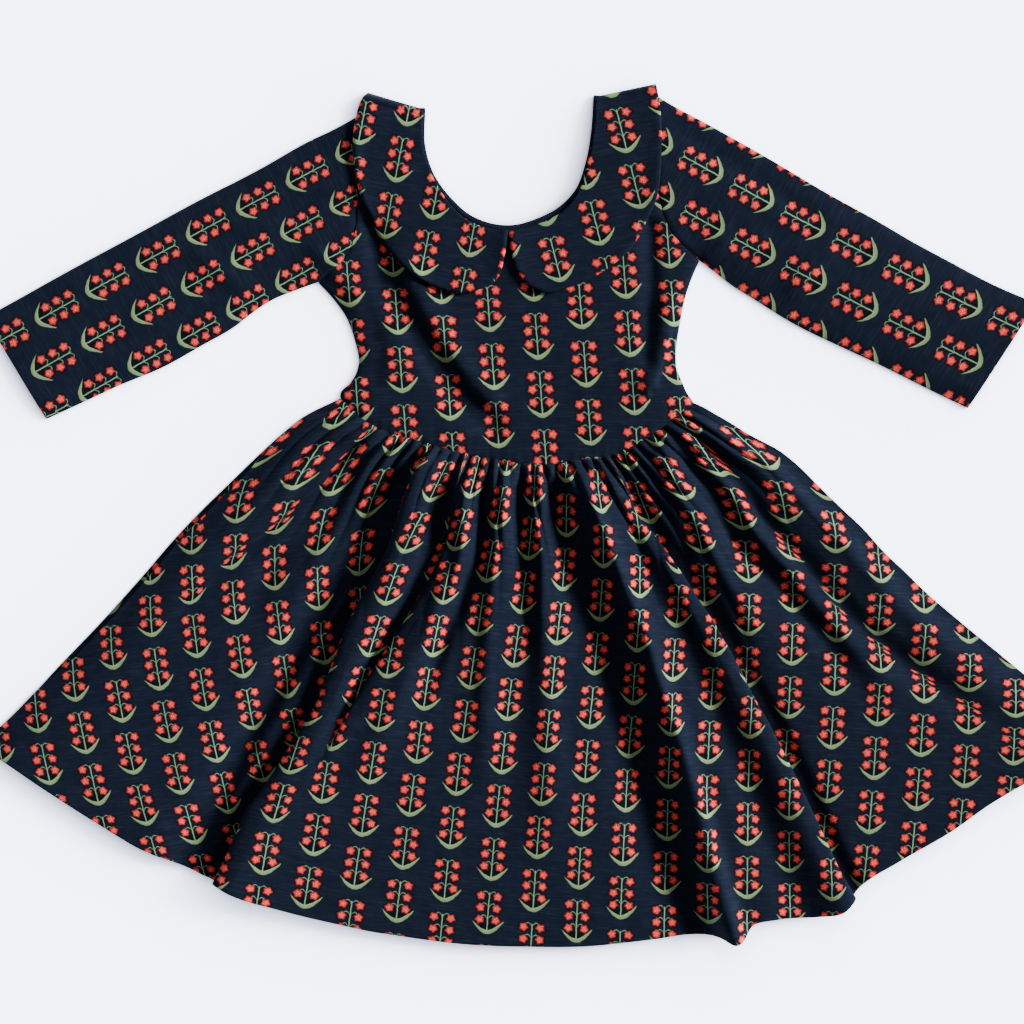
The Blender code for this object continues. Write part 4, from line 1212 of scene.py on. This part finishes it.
    def build_back(self, finish: bpy.types.Material) -> None:
        """Make the flat back, which shows past the left edge of the front."""
        left = Line(Seams.SKIRT_LEFT).beside(0.0, 160)
        hem = Line(Seams.HEM).beside(1.2, 300)[1:-1]
        right = Line(Seams.SKIRT_RIGHT).beside(-0.8, 160)[::-1]
        waist = Line(Seams.WAIST).beside(-0.4, 120)[::-1][1:-1]
        flat, faces = cut_sheet(np.vstack([left, hem, right, waist]), 12.0)
        self.back.make(np.column_stack([flat, np.full(len(flat), UNDER_Z)]), faces,
            self.left_grain.cloth(flat), finish, UNDER_WALL)


@dataclass
class Studio:
    """The white surface, the soft daylight from the right and the camera straight above."""

    aim: tuple[float, float] = (-24.2, 2.3)
    view: float = 0.80
    lens: float = 85.0

    def build(self) -> None:
        """Make the surface, the lights and the camera."""
        bpy.ops.mesh.primitive_plane_add(size=8, location=(0, 0, 0))
        floor = bpy.context.object
        floor.name = "floor"
        floor.data.materials.append(PaperFinish().made())
        self.window("window", azimuth=16, elevation=22.5, strength=12.9, softness=18)
        self.window("far_window", azimuth=110, elevation=40, strength=0.6, softness=60)
        world = bpy.data.worlds.new("daylight")
        world.use_nodes = True
        sky = world.node_tree.nodes["Background"]
        sky.inputs["Color"].default_value = (0.94, 0.96, 1.0, 1)
        sky.inputs["Strength"].default_value = 0.24
        bpy.context.scene.world = world
        data = bpy.data.cameras.new("from_above")
        data.lens = self.lens
        data.sensor_width = 36.0
        camera = bpy.data.objects.new("from_above", data)
        camera.location = (self.aim[0] * MM, self.aim[1] * MM, self.view * self.lens / 36.0 + 0.004)
        bpy.context.scene.collection.objects.link(camera)
        bpy.context.scene.camera = camera

    def window(self, name: str, azimuth: float, elevation: float, strength: float, softness: float) -> None:
        """Add soft daylight that is even over the whole dress.

        Args:
            name: the lamp's name.
            azimuth: degrees from +X, where it comes from.
            elevation: degrees above the surface.
            strength: watts on a square metre that faces it.
            softness: degrees that the window seems wide.
        """
        data = bpy.data.lights.new(name, "SUN")
        data.energy, data.angle = strength, math.radians(softness)
        lamp = bpy.data.objects.new(name, data)
        a, e = math.radians(azimuth), math.radians(elevation)
        toward = Vector((math.cos(a) * math.cos(e), math.sin(a) * math.cos(e), math.sin(e)))
        lamp.location = toward * 2.0
        lamp.rotation_euler = toward.to_track_quat("Z", "Y").to_euler()
        bpy.context.scene.collection.objects.link(lamp)


def main() -> None:
    """Build the dress piece by piece, then the studio, and report each."""
    logging.basicConfig(level=logging.INFO, format="%(message)s")
    printed = SprigPrint("printed_jersey").printed()
    plain = JerseyFinish("navy_jersey").plain()
    thread = JerseyFinish("navy_thread", ground=(0.016, 0.023, 0.045), streak=(0.035, 0.045, 0.07)).plain()
    Bodice().build(printed)
    left = Sheet("sleeve_left_cloth", "sleeve_left", (0.208, 0.30), 0.0600, ("floor",))
    right = Sheet("sleeve_right_cloth", "sleeve_right", (0.208, 0.30), 0.0590, ("floor",))
    Sleeve(left, Seams.SLEEVE_LEFT_UPPER, Seams.SLEEVE_LEFT_LOWER, Seams.ARMHOLE_LEFT,
        Grain((-317.2, 155.7), -61.0, -61.4, (0.938, 0.983), (0.7, -1.8, -0.3, 1.3, -0.3, -1.1)),
        True).build(printed)
    Sleeve(right, Seams.SLEEVE_RIGHT_UPPER, Seams.SLEEVE_RIGHT_LOWER, Seams.ARMHOLE_RIGHT,
        Grain((216.9, 179.8), 62.3, 59.0, (1.039, 0.999), (-1.5, 0, 0.4, 0.6, 0.2, -0.4)),
        False).build(printed)
    on = ("bodice_front_cloth",)
    Collar(Sheet("collar_left_cloth", "collar_left", (0.121, 0.157), 0.0094, on), Seams.COLLAR_LEFT,
        Seams.COLLAR_TOP_LEFT, (0.0, 0.476), Grain((-123.4, 219.4), -10.9, -12.4, (0.931, 0.986)),
        True).build(printed)
    Collar(Sheet("collar_right_cloth", "collar_right", (0.119, 0.165), 0.0092, on), Seams.COLLAR_RIGHT,
        Seams.COLLAR_TOP_RIGHT, (0.486, 1.0), Grain((13.3, 185.4), 14.1, 10.4, (1.031, 0.993)),
        False).build(printed)
    NeckBinding().build(plain, thread)
    Skirt().build(printed)
    Studio().build()


if __name__ == "__main__":
    main()
